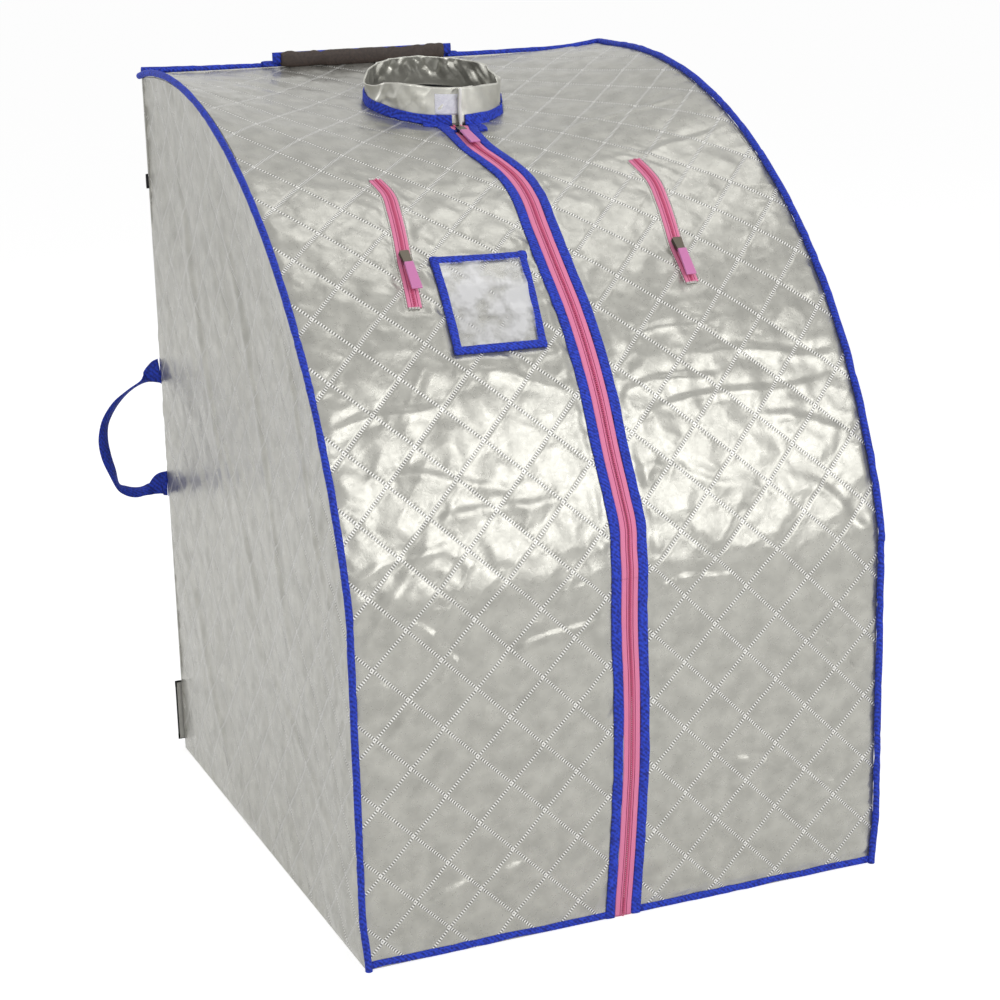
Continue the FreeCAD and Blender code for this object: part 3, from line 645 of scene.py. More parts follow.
@dataclass(frozen=True)
class ZipTape(Finish):
    """Pink herringbone zip tape with a darker woven line on each side of the teeth."""

    line: str = "#8E1346"
    line_at_mm: tuple[float, float] = (3.7, 4.6)

    def build(self) -> Material:
        """Build the material; its pattern runs across the tape in centimetres.

        Returns:
            The finished material.
        """
        material, tree, shader = self.start()
        place = add_node(tree, "ShaderNodeUVMap", uv_map=CELL_MAP).outputs[0]
        parts = add_node(tree, "ShaderNodeSeparateXYZ", {0: place})
        across = sum_up(tree, "ABSOLUTE", parts.outputs[0])
        low, high = (mm*0.1 for mm in self.line_at_mm)
        inside = sum_up(tree, "MULTIPLY", sum_up(tree, "GREATER_THAN", across, low),
                        sum_up(tree, "LESS_THAN", across, high))
        weave = add_node(tree, "ShaderNodeTexWave", {"Vector": place, "Scale": 3.2, "Distortion": 0.8},
                         bands_direction="DIAGONAL")
        pink = toned(tree, to_linear(self.colour)[:3], ranged(tree, weave.outputs[1], 0.82, 1.08))
        self.cover(tree, shader, weave.outputs[1], 0.5, 0.25*MM,
                   {"Base Color": covered(tree, inside, pink, to_linear(self.line))})
        return material


@dataclass(frozen=True)
class Moulded(Finish):
    """Moulded plastic or plated metal: an even surface with faint mottling and dulled high spots."""

    grain_mm: float = 1.5
    wear: float = 0.12

    def build(self) -> Material:
        """Build the material.

        Returns:
            The finished material.
        """
        material, tree, shader = self.start()
        place = add_node(tree, "ShaderNodeTexCoord").outputs["Object"]
        grain = add_node(tree, "ShaderNodeTexNoise", {"Vector": place, "Scale": 1/(self.grain_mm*MM),
                                                      "Detail": 3.0})
        rough = ranged(tree, grain.outputs[0], self.roughness - self.wear, self.roughness + self.wear)
        colour = toned(tree, to_linear(self.colour)[:3], ranged(tree, grain.outputs[0], 0.9, 1.1))
        self.cover(tree, shader, grain.outputs[0], 0.2, 0.1*MM, {"Roughness": rough, "Base Color": colour})
        return material


@dataclass(frozen=True)
class ClearFilm(Finish):
    """Clear vinyl: mostly see-through, with a wet gloss, and patches painted white and more opaque as painted
    glare that hides what lies under it.
    """

    clear: float = 0.12
    glare_opacity: float = 0.68

    def build(self) -> Material:
        """Build the material.

        Returns:
            The finished material.
        """
        material, tree, shader = self.start()
        place = add_node(tree, "ShaderNodeTexCoord").outputs["Object"]
        ripple = add_node(tree, "ShaderNodeTexNoise", {"Vector": place, "Scale": 35.0, "Detail": 2.0})
        # white patches 30 to 50 mm across where the film is painted more opaque: painted glare, standing in
        # for the lamps' reflection on the vinyl
        cloud = add_node(tree, "ShaderNodeTexNoise", {"Vector": place, "Scale": 17.0, "Detail": 4.0,
                                                      "Roughness": 0.55})
        share = ranged(tree, cloud.outputs[0], self.clear, self.glare_opacity, 0.46, 0.60)
        self.cover(tree, shader, ripple.outputs[0], 0.35, 2*MM, {"Alpha": share})
        return material


def made(finish: Finish) -> Any:
    """A field of the wardrobe: the material of a finish."""
    return field(default_factory=finish.build)


@dataclass
class Wardrobe:
    """Every material of the sauna, made once."""

    # coated satin: a soft metallic sheen; its lining and the collar's cloth have no quilting
    quilt: Material = made(QuiltedSatin("silver_quilted_satin", "#A8A7A0", 0.30, metallic=0.72))
    lining: Material = made(QuiltedSatin("silver_coated_lining", "#B4B3AE", 0.42, metallic=0.6,
                                         stitched=False))
    collar: Material = made(QuiltedSatin("plain_silver_satin", "#C6C5BC", 0.34, metallic=0.6,
                                         stitched=False))
    # polyester binding and webbing: deep matt blue, with painted shade in the gaps between the threads and
    # random darker flecks
    blue: Material = made(Woven("royal_blue_grosgrain", "#2A48D2", 0.8, dark="#0E1C78",
                                rib_mm=1.5, relief_mm=0.5, fleck_and_shade_share=0.95))
    webbing: Material = made(Woven("royal_blue_webbing", "#2240C4", 0.8, dark="#0E1B66",
                                   rib_mm=1.8, relief_mm=0.6, fleck_and_shade_share=0.85))
    # zip: matt woven tape, smoother coil, plated slider, soft vinyl pull
    tape: Material = made(ZipTape("pink_zip_tape", "#F08CB2", 0.75))
    teeth: Material = made(Moulded("dyed_nylon_coil", "#E0658F", 0.45))
    metal: Material = made(Moulded("gunmetal_plated_zinc", "#5A554C", 0.32, metallic=1.0, grain_mm=0.8))
    pull: Material = made(Moulded("mauve_moulded_vinyl", "#D07BB2", 0.46, coat=0.1))
    # grip, hook tape, window film, cotton tape, grommet and sewing thread
    brown: Material = made(Woven("brown_padded_cloth", "#42352E", 0.6, dark="#1E1714", rib_mm=0.9, fleck_and_shade_share=0.7))
    hook: Material = made(Woven("white_hook_tape", "#EDEDF4", 0.85, dark="#C4C4D0",
                                rib_mm=0.8, relief_mm=0.6))
    # the film's white colour, shown more opaque in patches, is painted glare
    film: Material = made(ClearFilm("clear_vinyl_film", "#F6F6F8", 0.14, coat=0.5))
    black: Material = made(Woven("black_cotton_tape", "#1C1C20", 0.8, dark="#08080A"))
    grommet: Material = made(Moulded("black_moulded_nylon", "#1A1A1C", 0.45))
    thread: Material = made(Moulded("white_sewing_thread", "#ECEBE6", 0.7))


# ---------------------------------------------------------------- the cabin's shape

@dataclass(frozen=True)
class Cabin:
    """The cabin's curved skin, in the sizes that the frame and the cut of the cloth give."""

    wall: float = 6*MM
    front_height: float = 427*MM
    shoulder: float = 97*MM
    edge_radius: float = 709*MM
    edge_turn: float = math.radians(14.7)
    middle_radius: float = 597*MM
    middle_turn: float = math.radians(12)
    neck_depth: float = 206*MM
    neck_radius: float = 90*MM
    half: float = field(default_factory=lambda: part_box("roof_panel")[1].x)
    depth: float = field(default_factory=lambda: 3*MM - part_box("front_gore_left")[0].y)

    @property
    def rear(self) -> float:
        """The y of the rear face."""
        return self.wall/2

    def centre(self, radius: float, turn: float) -> tuple[float, float]:
        """Depth and height of a roof arc's centre."""
        return (self.depth - self.shoulder*(1 - math.cos(turn)) - radius*math.cos(turn),
                self.front_height + (self.shoulder - radius)*math.sin(turn))

    @property
    def lengths(self) -> Array:
        """Measure where the front, the shoulder, the roof before the neck and the roof behind it end.

        Returns:
            The ends, along s, in that order.
        """
        centre, _ = self.centre(self.edge_radius, self.edge_turn)
        neck = math.acos((self.neck_depth + self.neck_radius - centre)/self.edge_radius)
        back = math.acos(-centre/self.edge_radius)
        runs = [self.front_height, self.shoulder*self.edge_turn, self.edge_radius*(neck - self.edge_turn),
                self.edge_radius*(back - neck)]
        return np.cumsum(runs)

    def profile(self, s: Array, radius: float, turn: float, straight_rear: bool) -> tuple[Array, Array]:
        """Depth and height along one of the two profiles.

        Args:
            s: Distance along the side edge's profile.
            radius: The roof arc's radius.
            turn: The shoulder's turn in radians.
            straight_rear: True where the cloth runs straight from the neck to the back's top.

        Returns:
            Depths and heights.
        """
        ends = self.lengths
        centre_depth, centre_height = self.centre(radius, turn)
        edge_depth, edge_height = self.centre(self.edge_radius, self.edge_turn)
        top = edge_height + math.sqrt(self.edge_radius**2 - edge_depth**2)
        neck = math.acos((self.neck_depth + self.neck_radius - centre_depth)/radius)
        share = [np.clip((s - low)/(high - low), 0, 1) for low, high in zip([0, *ends[:-1]], ends)]
        angle = turn*share[1]
        depth = self.depth - self.shoulder*(1 - np.cos(angle))
        height = self.front_height*share[0] + self.shoulder*np.sin(angle)
        angle = turn + (neck - turn)*share[2]
        roof = s > ends[1]
        depth = np.where(roof, centre_depth + radius*np.cos(angle), depth)
        height = np.where(roof, centre_height + radius*np.sin(angle), height)
        rear = s > ends[2]
        neck_depth, neck_height = self.neck_depth + self.neck_radius, centre_height + radius*math.sin(neck)
        if straight_rear:
            depth = np.where(rear, neck_depth*(1 - share[3]), depth)
            height = np.where(rear, neck_height + (top - neck_height)*share[3], height)
        else:
            angle = neck + (math.acos(-centre_depth/radius) - neck)*share[3]
            depth = np.where(rear, centre_depth + radius*np.cos(angle), depth)
            height = np.where(rear, centre_height + radius*np.sin(angle), height)
        return depth, height

    def bare(self, u: Array, s: Array) -> Array:
        """Shape the smooth skin: side edges on one arc, sagging to a tighter one in the middle.

        Args:
            u: Coordinate across.
            s: Coordinate along.

        Returns:
            The points.
        """
        u, s = np.broadcast_arrays(u, s)
        edge_depth, edge_height = self.profile(s, self.edge_radius, self.edge_turn, False)
        mid_depth, mid_height = self.profile(s, self.middle_radius, self.middle_turn, True)
        share = (u/self.half)**2
        depth = edge_depth*share + mid_depth*(1 - share)
        height = edge_height*share + mid_height*(1 - share)
        return np.stack([u, self.rear - depth, height], -1)

    def frame_at(self, u: Array, s: Array) -> tuple[Array, Array, Array, Array]:
        """Find where the smooth skin is, and how it lies.

        Args:
            u: Coordinate across.
            s: Coordinate along.

        Returns:
            Points, and unit vectors across, along and outward.
        """
        u, s = np.broadcast_arrays(np.asarray(u, float), np.asarray(s, float))
        step = 1*MM
        point = self.bare(u, s)
        along = unit(self.bare(u, s + step) - self.bare(u, s - step))
        across = unit(self.bare(u + step, s) - self.bare(u - step, s))
        return point, across, along, unit(np.cross(across, along))

    def on_skin(self, u: Array, s: Array, lift: Array) -> Array:
        """Points this far above the smooth skin."""
        point, _, _, out = self.frame_at(u, s)
        return point + out*np.broadcast_to(lift, point.shape[:-1])[..., None]

    def s_at_depth(self, x: float, depth: float) -> float:
        """Find a point of the roof on the cloth.

        Args:
            x: The point's x.
            depth: Its distance in front of the rear face.

        Returns:
            Its coordinate along the cloth.
        """
        s = np.linspace(self.front_height, self.lengths[-1], 900)
        points = self.bare(np.full_like(s, x), s)
        depths = self.rear - points[:, 1]
        return float(np.interp(-depth, -depths, s))

    def height_at(self, x: Array, y: Array) -> Array:
        """The smooth roof's height over points on the plan."""
        return np.array([self.bare(a, self.s_at_depth(a, self.rear - b))[2]
                         for a, b in zip(np.ravel(x), np.ravel(y))]).reshape(np.shape(x))


# ---------------------------------------------------------------- quilting

@dataclass
class Quilting:
    """The relief of a quilted cloth, from a simulation of one sheet sewn down along its diamonds."""

    columns: int = 6
    rows: int = 9
    steps: int = 24
    pitch: float = QUILT_CELL
    swell: float = 0.42
    puff: float = 2.2*MM
    pucker: float = 0.4*MM
    pucker_spacing: float = 8*MM
    pucker_reach: float = 5*MM
    frames: int = 26
    sheet: Optional[Array] = None

    def __post_init__(self) -> None:
        """Simulate the sheet."""
        self.sheet = self.simulate()

    def simulate(self) -> Array:
        """Blow up a sheet of slightly too much cloth that is held along its quilting lines.

        Returns:
            The displacement of each point of the sheet: across, along and outward.
        """
        spacing = self.pitch/self.steps
        i, j = np.meshgrid(np.arange(self.columns*self.steps + 1), np.arange(self.rows*self.steps + 1),
                           indexing="ij")
        flat = np.stack([i*spacing, j*spacing, np.zeros(i.shape)], -1)
        sewn = ((i + j) % self.steps == 0) | ((i - j) % self.steps == 0)
        start = flat.copy()
        rough = noise(i, j, 5.0, 11) + noise(i, j, 9.0, 12)
        start[..., 2] += np.where(sewn, 0, 1*MM + 0.6*MM*rough)
        mesh = bpy.data.meshes.new("quilting_sheet")
        number = np.arange(i.size).reshape(i.shape)
        quads = np.stack([number[:-1, :-1], number[1:, :-1], number[1:, 1:], number[:-1, 1:]], -1)
        mesh.from_pydata(start.reshape(-1, 3).tolist(), [], quads.reshape(-1, 4).tolist())
        piece = bpy.data.objects.new("quilting_sheet", mesh)
        bpy.context.scene.collection.objects.link(piece)
        held = piece.vertex_groups.new(name="sewn")
        held.add(np.flatnonzero(sewn).tolist(), 1.0, "ADD")
        cloth = piece.modifiers.new("Cloth", "CLOTH")
        cloth.collision_settings.use_collision = False
        settings = cloth.settings
        for name, value in {
            "quality": 5, "mass": 0.3, "tension_stiffness": 15, "compression_stiffness": 15,
            "shear_stiffness": 5, "bending_stiffness": 5, "tension_damping": 5, "compression_damping": 5,
            "shear_damping": 5, "air_damping": 5, "use_pressure": True, "uniform_pressure_force": 2.2,
            "shrink_min": -0.012, "shrink_max": -0.012, "vertex_group_mass": "sewn",
        }.items():
            setattr(settings, name, value)
        settings.effector_weights.gravity = 0
        for number in range(1, self.frames + 1):
            bpy.context.scene.frame_set(number)
        done = piece.evaluated_get(bpy.context.evaluated_depsgraph_get()).to_mesh()
        points = np.zeros(3*len(done.vertices))
        done.vertices.foreach_get("co", points)
        bpy.data.objects.remove(piece)
        bpy.context.scene.frame_set(1)
        moved = points.reshape(flat.shape) - flat
        limit = 6*MM
        LOG.info("quilting sheet: %d points, %.1f mm high", i.size, moved[..., 2].max()/MM)
        return np.clip(moved, -limit, limit)

    def sample(self, a: Array, b: Array) -> Array:
        """The relief at points of a cloth.

        Args:
            a: Coordinate across, in quilt cells.
            b: Coordinate along, in quilt cells.

        Returns:
            Displacement across, along and outward, in metres.
        """
        p, q = a + b, a - b
        diamond = np.abs(np.sin(math.pi*p)*np.sin(math.pi*q))**0.6
        height = self.puff*diamond + self.puckers(p, q) + self.puckers(q, p)
        moved = np.stack([np.zeros_like(a), np.zeros_like(a), height], -1)
        if self.sheet is None:
            return moved
        folded_a, sign_a = self.mirrored(a, self.columns)
        folded_b, sign_b = self.mirrored(b, self.rows)
        x = np.clip(folded_a*self.steps, 0, self.columns*self.steps - 1e-6)
        y = np.clip(folded_b*self.steps, 0, self.rows*self.steps - 1e-6)
        i, j = x.astype(int), y.astype(int)
        fx, fy = (x - i)[..., None], (y - j)[..., None]
        found = ((self.sheet[i, j]*(1 - fx) + self.sheet[i + 1, j]*fx)*(1 - fy)
                 + (self.sheet[i, j + 1]*(1 - fx) + self.sheet[i + 1, j + 1]*fx)*fy)
        found = found*self.swell
        found[..., 0] *= sign_a
        found[..., 1] *= sign_b
        return moved + found

    def puckers(self, across: Array, along: Array) -> Array:
        """Draw the short wrinkles that the thread pulls into the cloth on both sides of a family of seams.

        Args:
            across: Coordinate across the seams, in cells.
            along: Coordinate along them.

        Returns:
            Their height.
        """
        side = self.pitch/math.sqrt(2)
        seam = np.rint(across)
        off = np.abs(across - seam)*side
        wave = noise(along*side + 0.4*off, seam*1.37 + off*0.3, self.pucker_spacing, 21)
        share = off/self.pucker_reach
        return self.pucker*wave*share*np.exp(1 - share)

    @staticmethod
    def mirrored(value: Array, length: int) -> tuple[Array, Array]:
        """Fold a coordinate back and forth into the sheet.

        Args:
            value: The coordinate.
            length: The sheet's length.

        Returns:
            The folded coordinate, and the sign of its direction.
        """
        turned = np.mod(value, 2*length)
        back = turned > length
        return np.where(back, 2*length - turned, turned), np.where(back, -1.0, 1.0)


@dataclass(frozen=True)
class Fold:
    """One long wrinkle in the cloth: a ridge with a valley beside it, between two points."""

    start: tuple[float, float]
    end: tuple[float, float]
    width: float
    height: float

    def lift(self, a: Array, b: Array) -> Array:
        """Measure the wrinkle at points of the cloth.

        Args:
            a: Coordinate across.
            b: Coordinate along.

        Returns:
            Its height in metres.
        """
        p, q = np.array(self.start)*MM, np.array(self.end)*MM
        length = np.linalg.norm(q - p)
        ahead = (q - p)/length
        along = (a - p[0])*ahead[0] + (b - p[1])*ahead[1]
        off = (b - p[1])*ahead[0] - (a - p[0])*ahead[1]
        off = off - 6*MM*np.sin(along/length*math.pi*1.7)
        ends = smooth(along, -0.15*length, 0.25*length)*smooth(-along, -1.15*length, -0.75*length)
        x = off/(self.width*MM)
        return self.height*MM*ends*(np.exp(-x*x) - 0.6*np.exp(-(x - 1.4)**2))


# ---------------------------------------------------------------- quilted panels

@dataclass
class Outline:
    """A closed outline in a cloth's flat coordinates, which its edge follows exactly."""

    points: Array
    keep_inside: bool = True
    faded: bool = True

    def dense(self, spacing: float) -> Array:
        """Space points evenly along the outline.

        Args:
            spacing: Distance from one point to the next.

        Returns:
            The points.
        """
        closed = np.concatenate([self.points, self.points[:1]])
        run = run_of(closed)
        return taken_at(np.arange(0, run[-1], spacing), run, closed)

    def measure(self, a: Array, b: Array, spacing: float = 5*MM) -> tuple[Array, Array, Array]:
        """Find where points of the cloth lie against the outline.

        Args:
            a: Coordinate across.
            b: Coordinate along.
            spacing: Spacing of the outline's points that are compared.

        Returns:
            Distance to the outline, distance along it, and the nearest point on it.
        """
        line = self.dense(spacing)
        flat = np.stack([a.ravel(), b.ravel()], -1)
        nearest = np.empty(len(flat), int)
        for start in range(0, len(flat), 4000):
            block = flat[start:start + 4000]
            gap = ((block[:, None] - line[None])**2).sum(-1)
            nearest[start:start + 4000] = gap.argmin(1)
        ahead = unit(np.roll(line, -1, 0) - np.roll(line, 1, 0))[nearest]
        offset = flat - line[nearest]
        slide = np.clip((offset*ahead).sum(-1), -spacing, spacing)
        foot = line[nearest] + ahead*slide[:, None]
        gap = np.linalg.norm(flat - foot, axis=-1)
        return gap.reshape(a.shape), (nearest*spacing + slide).reshape(a.shape), foot.reshape(*a.shape, 2)

    def holds(self, a: Array, b: Array) -> Array:
        """Which points are on the cloth's side of the outline.

        Args:
            a: Coordinate across.
            b: Coordinate along.

        Returns:
            One boolean for each point.
        """
        inside = np.zeros(a.shape, bool)
        line = self.dense(6*MM)
        for (x1, y1), (x2, y2) in zip(line, np.roll(line, -1, 0)):
            if y1 == y2:
                continue
            crosses = (b < y1) != (b < y2)
            inside ^= crosses & (a < (x2 - x1)*(b - y1)/(y2 - y1) + x1)
        return inside if self.keep_inside else ~inside


@dataclass
class Layer:
    """One layer of a laid-out panel: its mesh, which triangles are cloth, and its flat coordinates."""

    patch: Patch
    kept: Array
    flat: Array

    def whole(self) -> Patch:
        """The layer without what is cut away."""
        return self.patch.part(self.kept)

    def beyond(self, place: float, above: bool) -> Patch:
        """The layer on one side of a line across the cloth."""
        mine = self.patch.middles(self.flat[:, 1]) > place
        return self.patch.part(self.kept & (mine == above))


@dataclass
class QuiltedPanel:
    """One quilted panel: its flat extent, its quilting lines, its wrinkles and its shape in space."""

    across: tuple[float, float]
    along: tuple[float, float]
    crossing: tuple[float, float]
    pitch: tuple[float, float]
    shape: Callable[[Array, Array], tuple[Array, Array, Array, Array]]
    quilting: Quilting
    breaks: Sequence[float] = ()
    edges: Sequence[Callable[[Array, Array], tuple[Array, Array]]] = ()
    cuts: Sequence[Outline] = ()
    folds: Sequence[Fold] = ()
    seed: int = 1
    sag: float = 2.2*MM
    crumple: float = 0.36*MM
    calm: Callable[[Array, Array], Array] = lambda a, b: np.ones(np.shape(a))
    creased: Optional[Callable[[Array, Array], Array]] = None
    backing: float = 5*MM
    fade: float = 11*MM
    outer: Layer = field(init=False)
    lining: Layer = field(init=False)

    def lines(self, extent: tuple[float, float], origin: float, pitch: float,
              breaks: Sequence[float] = ()) -> tuple[Array, Array]:
        """Grid positions that follow the quilting's own steps and end exactly at the panel's edges.

        Args:
            extent: Lowest and highest position.
            origin: Where a quilting line crosses.
            pitch: Distance between crossings.
            breaks: More positions that must be on the grid.

        Returns:
            The positions, and the number of each in the quilting's steps.
        """
        step = pitch/self.quilting.steps
        numbers = np.arange(math.ceil((extent[0] - origin)/step), math.floor((extent[1] - origin)/step) + 1)
        places = origin + numbers*step
        fixed = [*extent, *breaks]
        clear = np.all([np.abs(places - place) > 0.3*step for place in fixed], axis=0)
        places = np.concatenate([places[clear], fixed])
        order = np.argsort(places)
        places = places[order]
        return places, np.rint((places - origin)/step).astype(int)

    def build(self) -> "QuiltedPanel":
        """Lay the cloth out, quilt it, wrinkle it, shape it and line it.

        Returns:
            The panel, with its outer surface and its lining.
        """
        us, i = self.lines(self.across, self.crossing[0], self.pitch[0])
        ss, j = self.lines(self.along, self.crossing[1], self.pitch[1], self.breaks)
        a, b = np.meshgrid(us, ss, indexing="ij")
        cut = np.zeros(a.shape, bool)
        for outline in self.cuts:
            gap, _, foot = outline.measure(a, b)
            outside = ~outline.holds(a, b)
            close = ~outside & (gap < 0.35*self.pitch[0]/self.quilting.steps)
            cut |= outside
            a = np.where(outside | close, foot[..., 0], a)
            b = np.where(outside | close, foot[..., 1], b)
        flat = np.stack([a, b], -1)
        cells = np.stack([(a - self.crossing[0])/self.pitch[0], (b - self.crossing[1])/self.pitch[1]], -1)
        point, ahead_u, ahead_s, out = self.shape(a, b)
        moved = self.relief(a, b, cells)
        points = point + ahead_u*moved[..., :1] + ahead_s*moved[..., 1:2] + out*moved[..., 2:]
        seam = (i[:-1, None] + j[None, :-1] + 1) % self.quilting.steps == 0
        triangles = grid_triangles(*a.shape, seam=seam)
        normals = grid_normals(points)
        patch = Patch(points.reshape(-1, 3), triangles, cells.reshape(-1, 2), normals.reshape(-1, 3))
        self.outer = Layer(patch, ~cut.ravel()[triangles].all(axis=1), flat.reshape(-1, 2))
        self.lining = self.lined(point - out*self.backing, cut, flat)
        return self

    def relief(self, a: Array, b: Array, cells: Array) -> Array:
        """How far each point of the cloth leaves its smooth shape.

        Args:
            a: Coordinate across.
            b: Coordinate along.
            cells: Both in quilt cells.

        Returns:
            Displacement across, along and outward.
        """
        calm = self.calm(a, b)
        moved = self.quilting.sample(cells[..., 0], cells[..., 1])*calm[..., None]
        fade = np.ones(a.shape)
        pucker = np.zeros(a.shape)
        for near in [*self.edges, *(outline.measure for outline in self.cuts if outline.faded)]:
            gap, run = near(a, b)[:2]
            fade = fade*smooth(gap, 0, self.fade)
            wave = noise(run + 0.25*gap, gap*0.35, 9*MM, self.seed + 31)
            pucker += 1.3*MM*wave*smooth(gap, 0, 6*MM)*np.exp(-gap/(17*MM))
        broad = self.sag*(noise(a, b, 140*MM, self.seed + 1) + 0.35*noise(a + b, b, 60*MM, self.seed + 2))
        skew = a*0.35 + b
        fine = noise(skew, a, 26*MM, self.seed + 3)
        ridge = (1 - np.abs(noise(skew, a*0.45 + 0.1*b, 34*MM, self.seed + 5)))**6
        cross = (1 - np.abs(noise(a - 0.7*b, b*0.5, 30*MM, self.seed + 9)))**6
        patchy = smooth(noise(a, b, 85*MM, self.seed + 6), 0.0, 0.6)
        other = smooth(noise(a, b, 70*MM, self.seed + 10), 0.1, 0.7)
        extra = self.crumple*(fine + 3.2*ridge*patchy + 2.6*cross*other)
        if self.creased is not None:
            share = self.creased(a, b)
            ridges = (1 - np.abs(noise(b*0.6 - 0.8*a, a*0.4 + b*0.3, 22*MM, self.seed + 7)))**4
            extra = extra + share*(3.2*MM*ridges + 1.2*MM*noise(a, b, 14*MM, self.seed + 8))
        height = moved[..., 2] + extra*calm + broad*0.8
        for fold in self.folds:
            height = height + fold.lift(a, b)
        moved = moved*fade[..., None]
        moved[..., 2] = height*fade + pucker
        return moved

    def lined(self, inner: Array, cut: Array, flat: Array, every: int = 4) -> Layer:
        """The panel's inner surface: the smooth shape, a few millimetres in, at a coarser grid.

        Args:
            inner: Grid of points of the inner surface.
            cut: Which of them are cut away.
            flat: Their flat coordinates.
            every: How many steps of the grid make one of the lining's.

        Returns:
            The lining.
        """
        rows, columns = (np.unique(np.append(np.arange(0, count, every), count - 1)) for count in cut.shape)
        for place in self.breaks:
            columns = np.unique(np.append(columns, int(np.abs(flat[0, :, 1] - place).argmin())))
        points, cut, flat = (grid[np.ix_(rows, columns)] for grid in (inner, cut, flat))
        flat = flat.reshape(-1, 2)
        triangles = grid_triangles(*cut.shape, flip=True)
        normals = grid_normals(points, flip=True).reshape(-1, 3)
        patch = Patch(points.reshape(-1, 3), triangles, flat/QUILT_CELL, normals)
        return Layer(patch, ~cut.ravel()[triangles].all(axis=1), flat)


@dataclass
class CabinCloth:
    """All the quilted cloth: front and roof in two halves, both sides and the back."""

    cabin: Cabin
    wardrobe: Wardrobe
    quilting: Quilting
    pitch: float = 83.5*MM
    side_pitch: tuple[float, float] = (74*MM, 85*MM)
    slit: float = 12.5*MM
    zip_cover: float = 24.5*MM
    hem_cover: float = 10*MM
    neck_cut: float = 88.5*MM
    left_folds: Sequence[Fold] = (
        Fold((-330, 640), (-190, 668), 6, 1.7), Fold((-300, 585), (-120, 560), 7, 1.5),
        Fold((-250, 520), (-60, 545), 7, 1.7), Fold((-330, 470), (-220, 505), 6, 1.6),
        Fold((-330, 380), (-240, 520), 9, 2.0), Fold((-320, 250), (-200, 390), 8, 1.6),
        Fold((-310, 130), (-215, 300), 9, 1.7), Fold((-160, 352), (-30, 392), 5, 2.1),
        Fold((-285, 420), (-200, 352), 5, 2.0),
        Fold((-280, 60), (-120, 108), 5, 1.9), Fold((-160, 700), (-30, 672), 6, 1.2),
    )
    right_folds: Sequence[Fold] = (
        Fold((36, 655), (180, 668), 6, 2.1), Fold((60, 628), (300, 640), 6, 2.0),
        Fold((150, 690), (332, 668), 7, 1.7), Fold((50, 720), (190, 742), 6, 1.3),
        Fold((200, 600), (334, 572), 7, 1.6), Fold((40, 560), (150, 530), 7, 1.3),
        Fold((240, 520), (336, 440), 8, 1.5), Fold((40, 408), (150, 420), 5, 2.0),
        Fold((225, 330), (330, 262), 5, 2.0), Fold((120, 180), (300, 120), 5, 1.9),
        Fold((180, 1010), (330, 1052), 7, 1.5), Fold((120, 1110), (310, 1150), 7, 1.6),
    )

    def neck_outline(self) -> Outline:
        """Lay the neck opening's edge out in the cloth's flat coordinates.

        Returns:
            The outline.
        """
        turn = np.linspace(0, 2*math.pi, 120, endpoint=False)
        x = self.neck_cut*np.sin(turn)
        depth = self.cabin.neck_depth + self.neck_cut*np.cos(turn)
        s = np.array([self.cabin.s_at_depth(a, d) for a, d in zip(x, depth)])
        return Outline(np.stack([x, s], -1), keep_inside=False)

    def half(self, side: Side) -> QuiltedPanel:
        """One half of the front and roof cloth.

        Args:
            side: Which half.

        Returns:
            The panel, not yet built.
        """
        left = side is Side.LEFT
        end, half = self.cabin.lengths[-1], self.cabin.half
        crossing = (-236*MM, 616.5*MM) if left else (159*MM, 646*MM)
        top = self.cabin.s_at_depth(0.0, self.cabin.neck_depth + self.neck_cut)
        zip_line = MainZip(self.cabin, self.wardrobe)

        def side_edge(a: Array, b: Array) -> tuple[Array, Array]:
            """Distance to the side piping, and along it."""
            return half - np.abs(a), b

        def zip_edge(a: Array, b: Array) -> tuple[Array, Array]:
            """Distance to the zip's binding, or to the middle behind the neck, and along it."""
            covered = np.where(b < top, self.zip_cover, 0.0)
            return np.maximum(np.abs(a - zip_line.centre(b)) - covered, 0), b

        def rear_edge(a: Array, b: Array) -> tuple[Array, Array]:
            """Distance to the back's top piping, and along it."""
            return end - b, a

        def foot_edge(a: Array, b: Array) -> tuple[Array, Array]:
            """Distance to the hem, and along it."""
            return np.maximum(b - self.hem_cover, 0), a

        arm_line = ArmZip(self.cabin, self.wardrobe, side).path()
        window = Window(self.cabin, self.wardrobe)

        def arm_edge(a: Array, b: Array) -> tuple[Array, Array]:
            """Measure how far the arm zip's stitched border is.

            Args:
                a: Coordinate across.
                b: Coordinate along.

            Returns:
                Distance, and place along it.
            """
            off = np.maximum(np.abs(a - np.interp(b, arm_line[:, 1], arm_line[:, 0])) - 12*MM, 0)
            past = np.maximum(np.maximum(arm_line[0, 1] - b, b - arm_line[-1, 1]) - 4*MM, 0)
            return np.hypot(off, past), b + a

        edges = [side_edge, zip_edge, rear_edge, foot_edge, arm_edge]
        if left:
            edges.append(window.edge)
        edge = np.linspace(0, top, 120)
        x = zip_line.centre(edge)
        left_edge, right_edge = (np.stack([x + way*self.slit, edge], -1) for way in (-1, 1))
        slit = np.concatenate([left_edge, right_edge[::-1]])
        slit[0, 1] = slit[-1, 1] = -0.02
        return QuiltedPanel(
            tuple(sorted((0.0, side.value*half))), (0, end), crossing, (self.pitch, self.pitch),
            self.cabin.frame_at, self.quilting, breaks=[self.cabin.front_height], edges=edges,
            cuts=[self.neck_outline(), Outline(slit, keep_inside=False, faded=False)],
            folds=self.left_folds if left else self.right_folds, seed=100 if left else 200,
            calm=lambda a, b: 1 - 0.5*smooth(b, 0.82, 1.08))

    def side_outline(self) -> Array:
        """Trace a side panel.

        Returns:
            Points of depth and height.
        """
        s = np.linspace(0, self.cabin.lengths[-1], 400)
        depth, height = self.cabin.profile(s, self.cabin.edge_radius, self.cabin.edge_turn, False)
        return np.concatenate([[(0, 0)], np.stack([depth, height], -1)])

